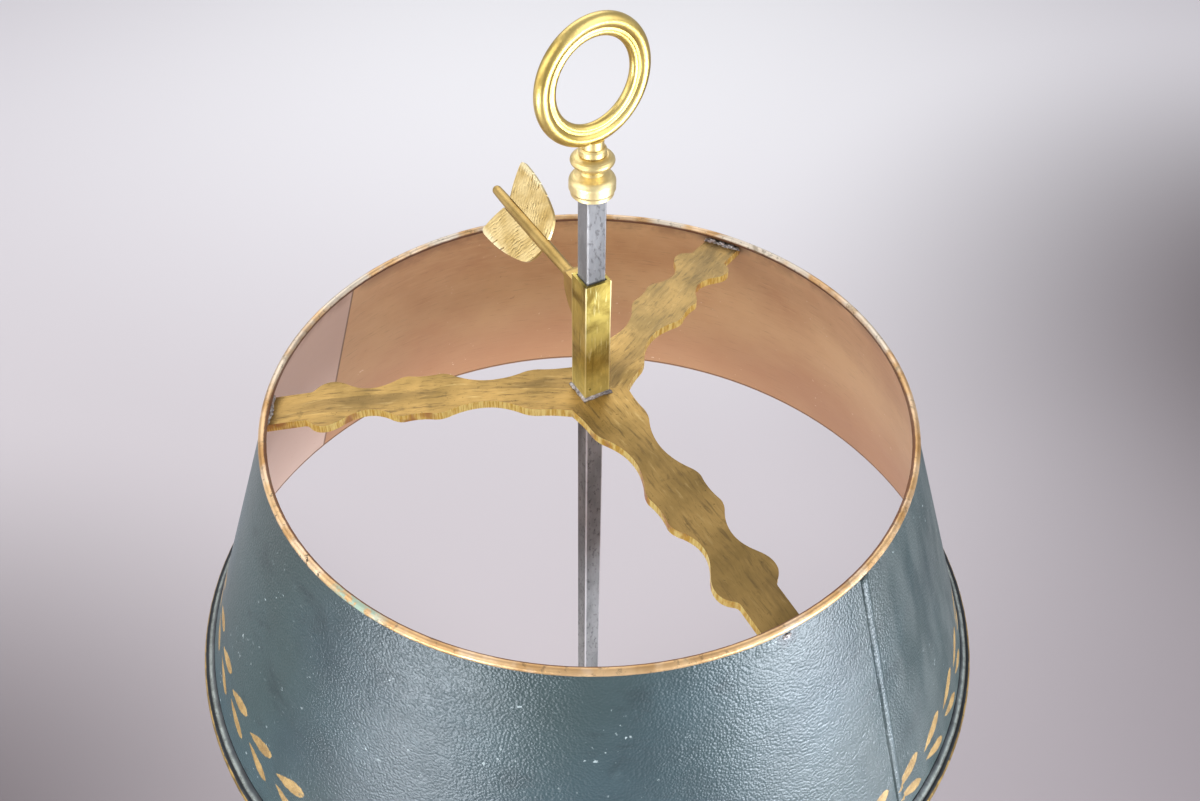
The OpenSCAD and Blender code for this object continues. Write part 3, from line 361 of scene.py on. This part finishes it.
def gilt_rim():
    """Worn gilding with pale patches of painted highlight: reddish brown on its inner side, partly paint
    and partly painted shade, darker underneath as painted shade, silvery at the back, brown specks and
    verdigris at the front left.
    """
    f = Finish("gilt_rim")
    z, r, turn = f.polar()
    round_it = f.maths("ARCTAN2", z - RIM_Z, r - RIM_R)
    wear = f.noise(110, 5, 0.7, 0.5)
    fine = f.noise(300, 4, 0.7)
    back = f.along((0, 1, 0)).rise(-0.04, 0.06)
    gold = f.mix(f.noise(45, 4).rise(0.3, 0.7), linear("AE8450"), linear("D6B284"))
    # Pale patches: painted highlight
    gold = f.mix(f.noise(70, 3, 0.5).rise(0.48, 0.66) * 0.45, gold, linear("F2DCC2"))
    gold = f.mix(back * f.noise(38, 3, 0.6).rise(0.40, 0.56) * 0.8, gold, linear("CFC8BA"))
    wrapped = f.maths("WRAP", round_it, 1.5 * math.pi, -0.5 * math.pi)
    # Reddish brown over the inner side, partly paint and partly painted shade, narrower at the back
    inner = (wrapped - back * 0.95 + (wear - 0.5) * 0.7).rise(1.85, 2.1)
    gold = f.mix(inner * 0.85, gold, linear("5E3422"))
    # Darker brown underneath the roll: painted shade
    under = (round_it + 0.9 + (wear - 0.5)).rise(0.3, -0.3)
    gold = f.mix(under * 0.7, gold, linear("6E4628"))
    gold = f.mix(wear.rise(0.58, 0.70) * 0.6, gold, linear("7C6A4A"))
    left = (turn + math.radians(140)).size().rise(0.45, 0.1)
    specks = fine.rise(0.56, 0.66) * (0.45 + 0.5 * left)
    gold = f.mix(specks, gold, linear("3F382A"))
    spread = (turn + math.radians(129)).size() + (f.noise(60, 3, 0.6) - 0.5) * 0.35
    green = (spread.rise(0.14, 0.04) * f.noise(150, 4, 0.7).rise(0.40, 0.50) * (1 - inner)).top(
        f.noise(24, 3, 0.6).rise(0.64, 0.70) * f.noise(150, 3, 0.6).rise(0.42, 0.54) * 0.6)
    gold = f.mix(green * 0.85, gold, linear("8FAE9C"))
    dull = wear.rise(0.54, 0.66).top(green).top(inner)
    f.set(Base_Color=gold, Roughness=0.30 + 0.25 * wear + 0.25 * inner, Metallic=0.7 - dull * 0.6,
          Normal=f.bump(f.noise(330, 4, 0.6) * 0.7 + wear * 0.5, 0.0005, 0.6))
    return f.material


def black_bead():
    """Black paint with a pale line along its top, partly worn paint and partly painted highlight, gilded
    outside and below and bronzed at its inner side.
    """
    f = Finish("black_bead", rough=0.3, Specular_IOR_Level=0.3)
    z, r = f.polar()[:2]
    round_it = f.maths("ARCTAN2", z - BEAD_Z, r - BEAD_R)
    wave = (f.noise(60, 4, 0.65) - 0.5) * 1.0
    gilded = (round_it + wave * 0.6).rise(1.0, 0.75) * (round_it + wave).rise(-2.3, -2.1)
    # A pale line along the top of the bead: partly worn paint, partly painted highlight
    ridge = (round_it - 1.85 + wave * 0.15).size().rise(0.30, 0.08)
    worn_line_and_highlight = ridge * (0.6 + 0.4 * f.noise(220, 4, 0.7).rise(0.40, 0.58))
    coat = f.mix(f.noise(90, 4).rise(0.35, 0.7), linear("11161A"), linear("1D242A"))
    coat = f.mix(worn_line_and_highlight * 0.7, coat, linear("A9B0AA"))
    inner = (r - BEAD_R + BEAD_TUBE * 0.72).rise(0.0003, -0.0002) * (z - BEAD_Z).rise(0.0008, -0.0004)
    coat = f.mix(inner * 0.8, coat, linear("8A6448"))
    gold = f.mix(f.noise(140, 3).rise(0.35, 0.65), linear("7A6234"), linear("A88A50"))
    worn = gilded * (1 - f.noise(210, 4, 0.7).rise(0.58, 0.68) * 0.7)
    f.set(Base_Color=f.mix(worn, coat, gold), Metallic=worn * 0.6 + worn_line_and_highlight * 0.2,
          Roughness=0.24 + 0.22 * f.noise(160, 3), Normal=f.bump(f.noise(380, 3), 0.0004, 0.6))
    return f.material


# ---- Metals

def brass(name, light, dark, stain, rough, stained=0.3, lacquer=0.0):
    """Cast or rolled brass: cloudy tone, stains, fine scratches and a faint hammered skin."""
    f = Finish(name, metal=1.0, Coat_Weight=lacquer, Coat_Roughness=0.22)
    cloud = f.noise(38, 4, 0.6)
    tone = f.mix(cloud.rise(0.3, 0.7), dark, light)
    spots = f.noise(120, 6, 0.72, 0.4)
    marks = spots.rise(0.56, 0.70) * stained
    tone = f.mix(marks, tone, stain)
    lines = f.noise(900, 2, 0.6)
    tone = f.mix(lines.rise(0.5, 0.75) * 0.25, tone, light)
    f.set(Base_Color=tone, Roughness=rough + 0.14 * cloud + marks * 0.25,
          Normal=f.bump(lines + spots * 0.5, 0.00012, 0.5))
    return f.material


def spider_brass():
    """Sawn brass plate: brown patina drawn out along each arm, bright reddish saw marks on its edges."""
    f = Finish("spider_brass", metal=1.0)
    z, r, turn = f.polar()
    local = f.maths("WRAP", turn - SPIDER_TURN, ARM_STEP / 2, -ARM_STEP / 2)
    along, aside = r * f.maths("COSINE", local), r * f.maths("SINE", local)
    arm = f.maths("FLOOR", (turn - SPIDER_TURN) / ARM_STEP + 0.5)
    lane = f.point(along * 0.14, aside + (f.noise(30, 2) - 0.5) * 0.006, arm * 0.31)
    streak = f.noise(620, 5, 0.62, 0.3, at=lane)
    broad = f.noise(95, 4, 0.6, 0.5, at=lane)
    cloud = f.noise(34, 4, 0.6)
    top = f.mix(cloud.rise(0.3, 0.68), linear("947A48"), linear("C2A062"))
    top = f.mix(broad.rise(0.47, 0.66) * 0.5, top, linear("6A573C"))
    hair = f.noise(1500, 3, 0.6, at=lane)
    top = f.mix(hair.rise(0.56, 0.66) * 0.3, top, linear("5A4A30"))
    pit = f.noise(700, 3, 0.6).rise(0.66, 0.72)
    top = f.mix(pit * 0.6, top, linear("43371F"))
    top = f.mix(streak.rise(0.54, 0.68) * 0.55, top, linear("5A4C3A"))
    top = f.mix(streak.rise(0.42, 0.28) * 0.35, top, linear("D8BE84"))
    out = r.rise(0.014, 0.055)
    # The front-right arm is darkened as painted shade and the back arm lightened as painted reflection
    top = f.mix((arm + 1.0).size().rise(0.5, 0.1) * out * 0.4, top, linear("6B5636"))
    top = f.mix(arm.size().rise(0.5, 0.1) * out * 0.14, top, linear("E2CC9C"))
    soot = f.noise(130, 5, 0.7).rise(0.60, 0.72)
    top = f.mix(soot * 0.35, top, linear("4E4230"))
    upright = f.facing((0, 0, 1)).size()
    edge = upright.rise(0.75, 0.45)
    saw = f.noise(520, 3, 0.6, at=f.point(turn * r, r, z * 0.22))
    side = f.mix(saw.rise(0.38, 0.60), linear("D6AC48"), linear("F6E08C"))
    red = f.noise(42, 3, 0.6).rise(0.52, 0.60) * (0.5 + 0.5 * saw.rise(0.35, 0.55))
    side = f.mix(red * 0.8, side, linear("A05838"))
    f.set(Base_Color=f.mix(edge, top, side),
          Roughness=(0.42 + 0.22 * streak) * (1 - edge) + 0.38 * edge, Metallic=1.0 - edge * 0.75,
          Normal=f.bump(streak * (1 - edge) * 0.6 + saw * edge * 0.5 + soot * 0.3, 0.0003, 0.6))
    return f.material


def sleeve_brass():
    """Polished square tube: upright draw marks, scuffs and a dull lower foot, with painted reflection over
    its lower part and arrises brightened partly by wear and partly as painted highlight.
    """
    f = Finish("sleeve_brass", metal=1.0)
    draw = f.noise(800, 4, 0.6, stretch=(1, 1, 0.05))
    patch = f.noise(70, 5, 0.65, 0.5)
    tone = f.mix(patch.rise(0.34, 0.66), linear("7E6A2C"), linear("C6B25E"))
    tone = f.mix(draw.rise(0.52, 0.70) * 0.6, tone, linear("6E5C24"))
    fine = f.noise(1300, 3, 0.6, stretch=(1, 1, 0.08)).rise(0.60, 0.68)
    tone = f.mix(fine * 0.4, tone, linear("F4ECB0"))
    inset = f.along(ACROSS).size().least(f.along(AWAY).size()) - HALF_SLEEVE
    corner_wear_and_highlight = inset.rise(-0.7 * MM, -0.1 * MM)
    # Brighter arrises: partly rubbed wear, partly painted highlight
    tone = f.mix(corner_wear_and_highlight * 0.7, tone, linear("FBF0B8"))
    above = f.along(UP, (0, 0, SLEEVE_FOOT))
    foot = above.rise(0.006, 0.001)
    lower = above.rise(0.024, 0.004)
    # Lighter over the lower part: painted reflection
    tone = f.mix(lower * 0.45, tone, linear("F0E08C"))
    tone = f.mix(foot * f.noise(240, 4).rise(0.5, 0.62) * 0.4, tone, linear("6E5A3A"))
    f.set(Base_Color=tone, Roughness=0.26 + 0.14 * patch + 0.1 * draw, Metallic=0.85 - 0.4 * lower,
          Normal=f.bump(draw + patch * 0.3, 0.00018, 0.5))
    return f.material


def rod_steel():
    """Drawn square steel: greyed flats with dark pits, and bright arrises, partly rubbed and partly
    painted highlight.
    """
    f = Finish("rod_steel", metal=0.5)
    inset = f.along(ACROSS).size().least(f.along(AWAY).size()) - HALF_ROD
    corner_wear_and_highlight = inset.rise(-0.9 * MM, -0.25 * MM)
    draw = f.noise(1300, 4, 0.6, stretch=(1, 1, 0.035))
    pits = f.noise(700, 4, 0.7, stretch=(1, 1, 0.5)).rise(0.54, 0.64)
    upper = f.parts()[2].rise(SLEEVE_TOP - 2 * MM, SLEEVE_TOP + 3 * MM)
    mottle = f.noise(60, 4, 0.6, stretch=(1, 1, 0.4)).rise(0.35, 0.65)
    tone = f.mix(mottle, linear("6C6C6B"), linear("8E8D8C"))
    tone = f.mix(draw.rise(0.5, 0.72) * 0.4, tone, linear("7C7679"))
    tone = f.mix(pits * (0.6 - 0.35 * upper), tone, linear("444243"))
    tone = f.mix(upper * 0.35, tone, linear("5C585B"))
    # Bright arrises: partly rubbed, partly painted highlight, fainter above the sleeve
    tone = f.mix(corner_wear_and_highlight * (0.75 - 0.45 * upper), tone, linear("E0DCDD"))
    f.set(Base_Color=tone, Roughness=0.56 - 0.2 * corner_wear_and_highlight + 0.14 * pits,
          Normal=f.bump(draw - pits * 0.8, 0.0002, 0.6))
    return f.material


def grey_metal(name, light, dark, rough, metal=0.9):
    """Clouded grey metal with a fine dark grain."""
    f = Finish(name, metal=metal)
    cloud = f.noise(180, 5, 0.7, 0.3)
    grain = f.noise(900, 3, 0.6)
    tone = f.mix(cloud.rise(0.32, 0.68), dark, light)
    f.set(Base_Color=f.mix(grain.rise(0.6, 0.75) * 0.4, tone, dark), Roughness=rough + 0.2 * cloud,
          Normal=f.bump(cloud + grain * 0.4, 0.0003, 0.6))
    return f.material


def tin_solder(name="tin_solder", burnt_and_shaded=0.0):
    """Dull grey solder with bright skins and reddish flux, darker on one side, partly scorched and partly
    painted shade.
    """
    f = Finish(name, metal=0.8)
    cloud = f.noise(420, 5, 0.7, 0.3)
    tone = f.mix(cloud.rise(0.32, 0.68), linear("786F6C"), linear("CBC6C4"))
    flux = f.noise(260, 3, 0.6).rise(0.53, 0.66)
    tone = f.mix(flux * 0.5, tone, linear("8A6254"))
    tone = f.mix(f.noise(520, 3, 0.7).rise(0.60, 0.68) * 0.4, tone, linear("3A3132"))
    # One side darker: partly scorched solder, partly painted shade
    tone = f.mix(f.along(ACROSS).rise(-1 * MM, 3 * MM) * burnt_and_shaded, tone, linear("463C3D"))
    f.set(Base_Color=tone, Roughness=0.34 + 0.25 * cloud, Metallic=0.7 - flux * 0.4,
          Normal=f.bump(cloud, 0.0002, 0.6))
    return f.material


def vane_gold(name, out):
    """Satin gilt vane with barbs engraved aslant from the shaft."""
    f = Finish(name, metal=1.0)
    l, w = f.along(AWAY, SCREW), f.along(out, SCREW)
    slant = (l - w * 0.55) * 1000.0
    barb = f.maths("SINE", slant * 3.4 + w * w * 9000.0 + f.noise(150, 3) * 15.0) * 0.5 + 0.5
    cut = barb.rise(0.45, 0.0) * (0.12 + 0.88 * f.noise(170, 3, 0.6).rise(0.50, 0.66))
    tone = f.mix(f.noise(90, 4).rise(0.3, 0.7), linear("C6A868"), linear("EAD298"))
    tone = f.mix(cut * 0.5, tone, linear("6E5628"))
    # A pale band along the outer edge: painted highlight
    edge = w.rise(0.0150, 0.0175)
    tone = f.mix(edge * 0.7, tone, linear("FBEFC4"))
    tone = f.mix(f.noise(260, 5, 0.7).rise(0.58, 0.70) * 0.35, tone, linear("7E693E"))
    f.set(Base_Color=tone, Roughness=0.36 + 0.15 * f.noise(200, 3),
          Normal=f.bump(f.noise(500, 3) * 0.5 - cut, 0.00035, 0.75))
    return f.material


# ---- Unseen lower lamp: plastics, card, felt and glass

def moulded(name, base, speckle, rough):
    """Plastic with a fine speckled skin."""
    f = Finish(name, rough=rough)
    grain = f.noise(700, 3, 0.6)
    tone = f.mix(grain.rise(0.55, 0.75) * 0.4, linear(base), linear(speckle))
    f.set(Base_Color=f.mix(f.noise(60, 4).rise(0.5, 0.75) * 0.3, tone, linear(speckle)),
          Roughness=rough + 0.15 * grain, Normal=f.bump(grain, 0.0001, 0.5))
    return f.material


def candle_card():
    """Ivory card tube: upright fibres and a browned top."""
    f = Finish("candle_card")
    z = f.parts()[2]
    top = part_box("candle_sleeve_right")[1].z
    fibre = f.noise(420, 4, 0.6, stretch=(1, 1, 0.12))
    tone = f.mix(fibre.rise(0.35, 0.7), linear("E6DCC0"), linear("F3ECD8"))
    scorch = z.rise(top - 0.014, top) * (0.5 + 0.5 * f.noise(110, 3))
    tone = f.mix(scorch * 0.5, tone, linear("B99B6A"))
    f.set(Base_Color=tone, Roughness=0.5 + 0.2 * fibre, Normal=f.bump(fibre, 0.0002, 0.6))
    return f.material


def felt():
    """Green wool felt."""
    f = Finish("felt", rough=0.95, Sheen_Weight=0.3, Sheen_Roughness=0.5)
    fuzz = f.noise(1400, 4, 0.7)
    f.set(Base_Color=f.mix(fuzz.rise(0.3, 0.7), linear("24412C"), linear("3F6347")),
          Normal=f.bump(fuzz, 0.0006, 0.9))
    return f.material


def opal_glass():
    """Milk glass with a glossy skin."""
    f = Finish("opal_glass", rough=0.16, Coat_Weight=0.4)
    cloud = f.noise(50, 3)
    f.set(Base_Color=f.mix(cloud.rise(0.3, 0.7), linear("F1EDE2"), linear("FBF8F0")),
          Roughness=0.12 + 0.1 * cloud, Normal=f.bump(cloud, 0.0003, 0.3))
    return f.material


def lay(material, *nodes):
    """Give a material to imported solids."""
    for node in nodes:
        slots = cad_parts[node].data.materials
        slots.clear()
        slots.append(material)


TIN = japanned_tin()
SOLDER = tin_solder()
BEAD = black_bead()


def dress_solids():
    """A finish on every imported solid."""
    lay(TIN, "panel_front_left", "panel_back_right")
    lay(gilt_rim(), "rim_roll")
    lay(BEAD, "bead_roll")
    lay(spider_brass(), "spider_plate")
    lay(sleeve_brass(), "slide_sleeve")
    lay(rod_steel(), "square_rod")
    lay(SOLDER, "arm_solder", "sleeve_solder")
    iron = grey_metal("dark_iron", linear("5A5556"), linear("2E2A2A"), 0.5, 0.8)
    lay(iron, "rim_wire", "bead_wire", "base_weight", "tie_nuts", "rod_nut")
    plated = grey_metal("plated_steel", linear("C4C2C2"), linear("8F8C8C"), 0.28)
    lay(plated, "tie_tube", "base_washer", "light_nipples", "bulb_cap_right", "bulb_cap_left")
    out = math.sin(VANE_TURN) * ACROSS + math.cos(VANE_TURN) * UP
    lay(vane_gold("upper_vane_gold", out), "vane_upper")
    lay(vane_gold("lower_vane_gold", -out), "vane_lower")
    satin = brass("arrow_gold", linear("C4A768"), linear("9C8048"), linear("6E5830"), 0.38, 0.35)
    lay(satin, "arrow_screw", "clamp_boss")
    cast = brass("finial_brass", linear("EBD9A4"), linear("D2B876"), linear("8F7440"), 0.38, 0.2,
                 lacquer=0.3)
    lay(cast, "finial_baluster", "finial_neck")
    # The ring takes a darker copy of the finial's brass: painted shade
    ring = brass("ring_brass", linear("D8C078"), linear("B89C50"), linear("7E6634"), 0.3, 0.25,
                 lacquer=0.15)
    lay(ring, "finial_ring")
    bright = brass("bright_brass", linear("E6C976"), linear("BD9945"), linear("735A2C"), 0.2, 0.35)
    lay(bright, "stem_knop", "stem_collar", "switch_bezel", "switch_nut", "switch_knob",
        "drip_pan_right", "drip_pan_left")
    plain = brass("lamp_brass", linear("D0AF5C"), linear("9F7F38"), linear("5E4826"), 0.27, 0.5)
    lay(plain, "bowl_cover", "junction_bowl", "stem_column", "pedestal", "rod_socket",
        "arm_right", "arm_left", "candle_cup_right", "candle_cup_left")
    dish = brass("dish_brass", linear("C4A150"), linear("8E7031"), linear("54411F"), 0.32, 0.7)
    lay(dish, "base_dish")
    lay(moulded("black_moulding", "1E1D1C", "35332F", 0.45), "switch_body", "cable_gland", "gland_nut",
        "lampholder_right", "lampholder_left")
    lay(moulded("wire_insulation", "E4DCC2", "C6BB98", 0.5), "supply_wire", "switch_wire",
        "arm_wire_right", "arm_wire_left", "terminal_block")
    lay(candle_card(), "candle_sleeve_right", "candle_sleeve_left")
    lay(felt(), "felt_pad")
    lay(opal_glass(), "bulb_glass_right", "bulb_glass_left")


dress_solids()


# ---- Pieces of solder and paint over the solids

def keep(shape, name, material, body):
    """Make a finished object of a bmesh, at the origin, riding on a body."""
    bmesh.ops.recalc_face_normals(shape, faces=shape.faces)
    for face in shape.faces:
        face.smooth = True
    mesh = bpy.data.meshes.new(name)
    shape.to_mesh(mesh)
    shape.free()
    mesh.materials.append(material)
    made = bpy.data.objects.new(name, mesh)
    bpy.context.scene.collection.objects.link(made)
    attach(made, body)
    return made


def skin(rings, shut):
    """Quads between rings of places; shut joins the last ring to the first, else each end gets a face."""
    shape = bmesh.new()
    made = [[shape.verts.new(place) for place in ring] for ring in rings]
    if shut:
        made.append(made[0])
    else:
        shape.faces.new(made[0])
        shape.faces.new(made[-1])
    for near, far in zip(made, made[1:]):
        for corners in zip(near, near[1:] + near[:1], far[1:] + far[:1], far):
            shape.faces.new(corners)
    return shape


def seam_ridge(name, turn, aside):
    """Filled and painted lap: a rounded ridge over the raised strip, from the rim down to the bead."""
    wide, high = 2.6 * MM, 1.38 * MM
    top_height, foot_height = -1.6, -131.5
    steps = 41
    away, side = radial(turn)
    top = on_wall(turn, top_height) + side * aside * 0.75
    foot = on_wall(turn, foot_height) + side * aside
    out = side.cross(foot - top).normalized()
    out = out if out.dot(away) > 0 else -out
    ring = [top + side * wide * math.cos(a) + out * high * max(-0.1, math.sin(a))
            for a in (math.pi * k / 12 for k in range(-1, 14))]
    drops = [(foot - top) * (k / steps) for k in range(steps + 1)]
    shape = skin([[place + drop for place in ring] for drop in drops], shut=False)
    for v in shape.verts:
        v.co += out * (noise.noise(v.co * 90) * 0.00012) + side * noise.noise(v.co * 25) * 0.0004
    return keep(shape, name, TIN, "shade")


def lump(name, place, size, axes, material):
    """A blob of solder: a flattened ball with a frozen, uneven skin."""
    ragged = 0.5
    shape = bmesh.new()
    bmesh.ops.create_icosphere(shape, subdivisions=4, radius=1)
    for v in shape.verts:
        swell = 1 + ragged * noise.noise(v.co * 1.7 + Vector(place) * 60)
        v.co = sum((axis * (v.co[i] * size[i] * swell) for i, axis in enumerate(axes)), Vector(place))
    return keep(shape, name, material, "shade")


def solder_skirt():
    """The uneven fillet round the sleeve's foot, grown from the plain one, with lumps on each side."""
    burnt_and_shaded = tin_solder("skirt_solder", 0.55)
    shape = bmesh.new()
    shape.from_mesh(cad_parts["sleeve_solder"].data)
    bmesh.ops.remove_doubles(shape, verts=shape.verts, dist=1e-6)
    bmesh.ops.subdivide_edges(shape, edges=shape.edges, cuts=9, use_grid_fill=True)
    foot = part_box("sleeve_solder")[0].z
    for v in shape.verts:
        flat = Vector((v.co.x, v.co.y, 0))
        far = max(abs(flat.dot(ACROSS)), abs(flat.dot(AWAY)))
        spread = max(0.0, far - 5.8 * MM)
        push = noise.noise(v.co * 420) * 0.5 + noise.noise(v.co * 1100) * 0.35
        v.co += flat.normalized() * spread * (push * 1.2 - 0.42)
        v.co.z = max(foot, v.co.z + push * 0.35 * MM * min(1, spread / (0.3 * MM)))
    made = keep(shape, "sleeve_solder_skirt", burnt_and_shaded, "shade")
    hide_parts("sleeve_solder")
    for k, (out, side) in enumerate(((ACROSS, AWAY), (AWAY, ACROSS), (-ACROSS, AWAY), (-AWAY, ACROSS))):
        for i in range(-1, 2):
            place = out * 6.0 * MM + side * (i * 3.7 + 0.3 * k) * MM + UP * (foot + 0.35 * MM)
            deep = (0.75 + 0.2 * math.cos(4 * i + k)) * MM
            high = (0.7 + 0.25 * math.sin(3 * i + 2 * k)) * MM
            lump(f"foot_solder_{k}_{i + 1}", place, (2.3 * MM, deep, high), (side, out, UP), burnt_and_shaded)


def tab_solder():
    """Runs of solder on the arms' ends, against the wall under the rim."""
    for k in range(3):
        turn = SPIDER_TURN + ARM_STEP * k
        away, side = radial(turn)
        for i in range(-3, 4):
            place = on_wall(turn, -3.6) - away * 2.2 * MM + side * i * 2.4 * MM
            deep = (1.2 + 0.4 * math.sin(5 * i + 2 * k)) * MM
            high = (1.1 + 0.4 * math.cos(3 * i + k)) * MM
            lump(f"tab_solder_{k}_{i + 3}", place, (2.1 * MM, deep, high), (side, -away, UP), SOLDER)


def bead_fillet():
    """Paint that runs smoothly from the wall on to the bead and fills the crease between them."""
    centre = Vector((BEAD_R, 0, BEAD_Z))
    tube = BEAD_TUBE - 0.05 * MM
    foot = centre + tube * Vector((math.cos(1.7), 0, math.sin(1.7)))
    high = 5.2 * MM
    top = Vector((RIM_R + WALL_SLOPE * (RIM_Z - BEAD_Z - high) + 0.42 * MM, 0, BEAD_Z + high))
    bend = Vector((foot.x - 1.0 * MM, 0, foot.z + 0.2 * MM))
    rows = [(1 - t) ** 2 * top + 2 * t * (1 - t) * bend + t * t * foot for t in (k / 7 for k in range(8))]
    rows.append(Vector((BEAD_R - 0.6 * tube, 0, BEAD_Z + 0.9 * MM)))
    rows.append(Vector((top.x - 0.3 * MM, 0, top.z - 1 * MM)))
    turns = [Matrix.Rotation(math.radians(2 * k), 3, "Z") for k in range(180)]
    shape = skin([[turn @ row for row in rows] for turn in turns], shut=True)
    keep(shape, "bead_fillet", BEAD, "shade")


def outer_blob():
    """The one small blob of solder that came through to the outside, at the front arm."""
    away, side = radial(BLOB_TURN)
    out = (away + 0.35 * UP).normalized()
    lump("outer_blob", on_wall(BLOB_TURN, -3.4, 0.45 * MM), (1.9 * MM, 0.7 * MM, 1.1 * MM),
         (side, out, side.cross(out)), SOLDER)


seam_ridge("front_seam_ridge", FRONT_SEAM, 0.75 * MM)
seam_ridge("back_seam_ridge", BACK_SEAM, -0.75 * MM)
solder_skirt()
tab_solder()
outer_blob()
bead_fillet()


# ---- Floor and light

# Soft ovals of painted light and shade on the paper: middle x and y, half width and depth in metres, share
# and colour
LIGHT_AND_SHADE_POOLS = (
    (0.0, 1.45, 1.1, 1.0, 0.9, "E4E3E4"),
    (1.0, 0.62, 0.88, 0.82, 0.95, "4A4143"),
    (-0.64, -0.08, 0.7, 0.62, 0.95, "433B3D"),
    (0.64, -0.05, 0.72, 0.62, 0.72, "635A5C"),
)
# Softboxes: place, aim, size in metres, watts and colour
WHITE = (1, 1, 1)
SOFTBOXES = {
    "key_softbox": ((-1.5, -1.0, 1.9), (0, 0, 0.5), (2.0, 1.8), 30, WHITE),
    "fill_softbox": ((1.7, -0.6, 1.5), (0, 0, 0.5), (1.6, 1.6), 20, WHITE),
    "back_softbox": ((-0.4, 1.5, 2.1), (0, 0, 0.5), (2.4, 1.4), 22, WHITE),
    "side_softbox": ((-1.6, -0.1, 0.7), (0, 0, 0.55), (1.4, 1.2), 7, WHITE),
    "low_right_softbox": ((0.75, -0.54, 0.28), (0.09, -0.12, 0.48), (0.58, 0.18), 12, (0.82, 0.90, 1)),
    "low_left_softbox": ((-0.62, -0.76, 0.22), (-0.07, -0.15, 0.47), (0.6, 0.22), 9, (0.84, 0.92, 1)),
}


def floor():
    """Pale paper under the lamp, lighter towards the back and with soft ovals of painted light and shade.
    """
    shape = bmesh.new()
    bmesh.ops.create_grid(shape, x_segments=2, y_segments=2, size=4)
    mesh = bpy.data.meshes.new("floor")
    shape.to_mesh(mesh)
    shape.free()
    made = bpy.data.objects.new("floor", mesh)
    bpy.context.scene.collection.objects.link(made)
    f = Finish("floor_paper", rough=0.9, Specular_IOR_Level=0.1)
    x, y = f.parts()[:2]
    # Lighter towards the back: painted light
    tone = f.mix(y.rise(-0.2, 1.3), linear("ACA3A5"), linear("CECACD"))
    for at_x, at_y, wide, deep, share, colour in LIGHT_AND_SHADE_POOLS:
        a, b = (x - at_x) / wide, (y - at_y) / deep
        oval = f.maths("SQRT", a * a + b * b).rise(1.0, 0.1)
        tone = f.mix(oval * share, tone, linear(colour))
    f.set(Base_Color=tone)
    mesh.materials.append(f.material)


def studio():
    """Softboxes and an even pale sky."""
    world = bpy.data.worlds.new("studio")
    bpy.context.scene.world = world
    world.use_nodes = True
    sky = world.node_tree.nodes["Background"]
    sky.inputs["Color"].default_value = (0.92, 0.93, 1.0, 1)
    sky.inputs["Strength"].default_value = 0.55
    for name, (place, aim, size, watts, colour) in SOFTBOXES.items():
        light = bpy.data.lights.new(name, "AREA")
        light.shape, light.size, light.size_y = "RECTANGLE", *size
        light.energy, light.color = watts, colour
        made = bpy.data.objects.new(name, light)
        bpy.context.scene.collection.objects.link(made)
        turn = (Vector(aim) - Vector(place)).to_track_quat("-Z", "Y").to_matrix().to_4x4()
        made.matrix_world = Matrix.Translation(place) @ turn


floor()
studio()
bpy.context.scene.view_settings.view_transform = "Standard"
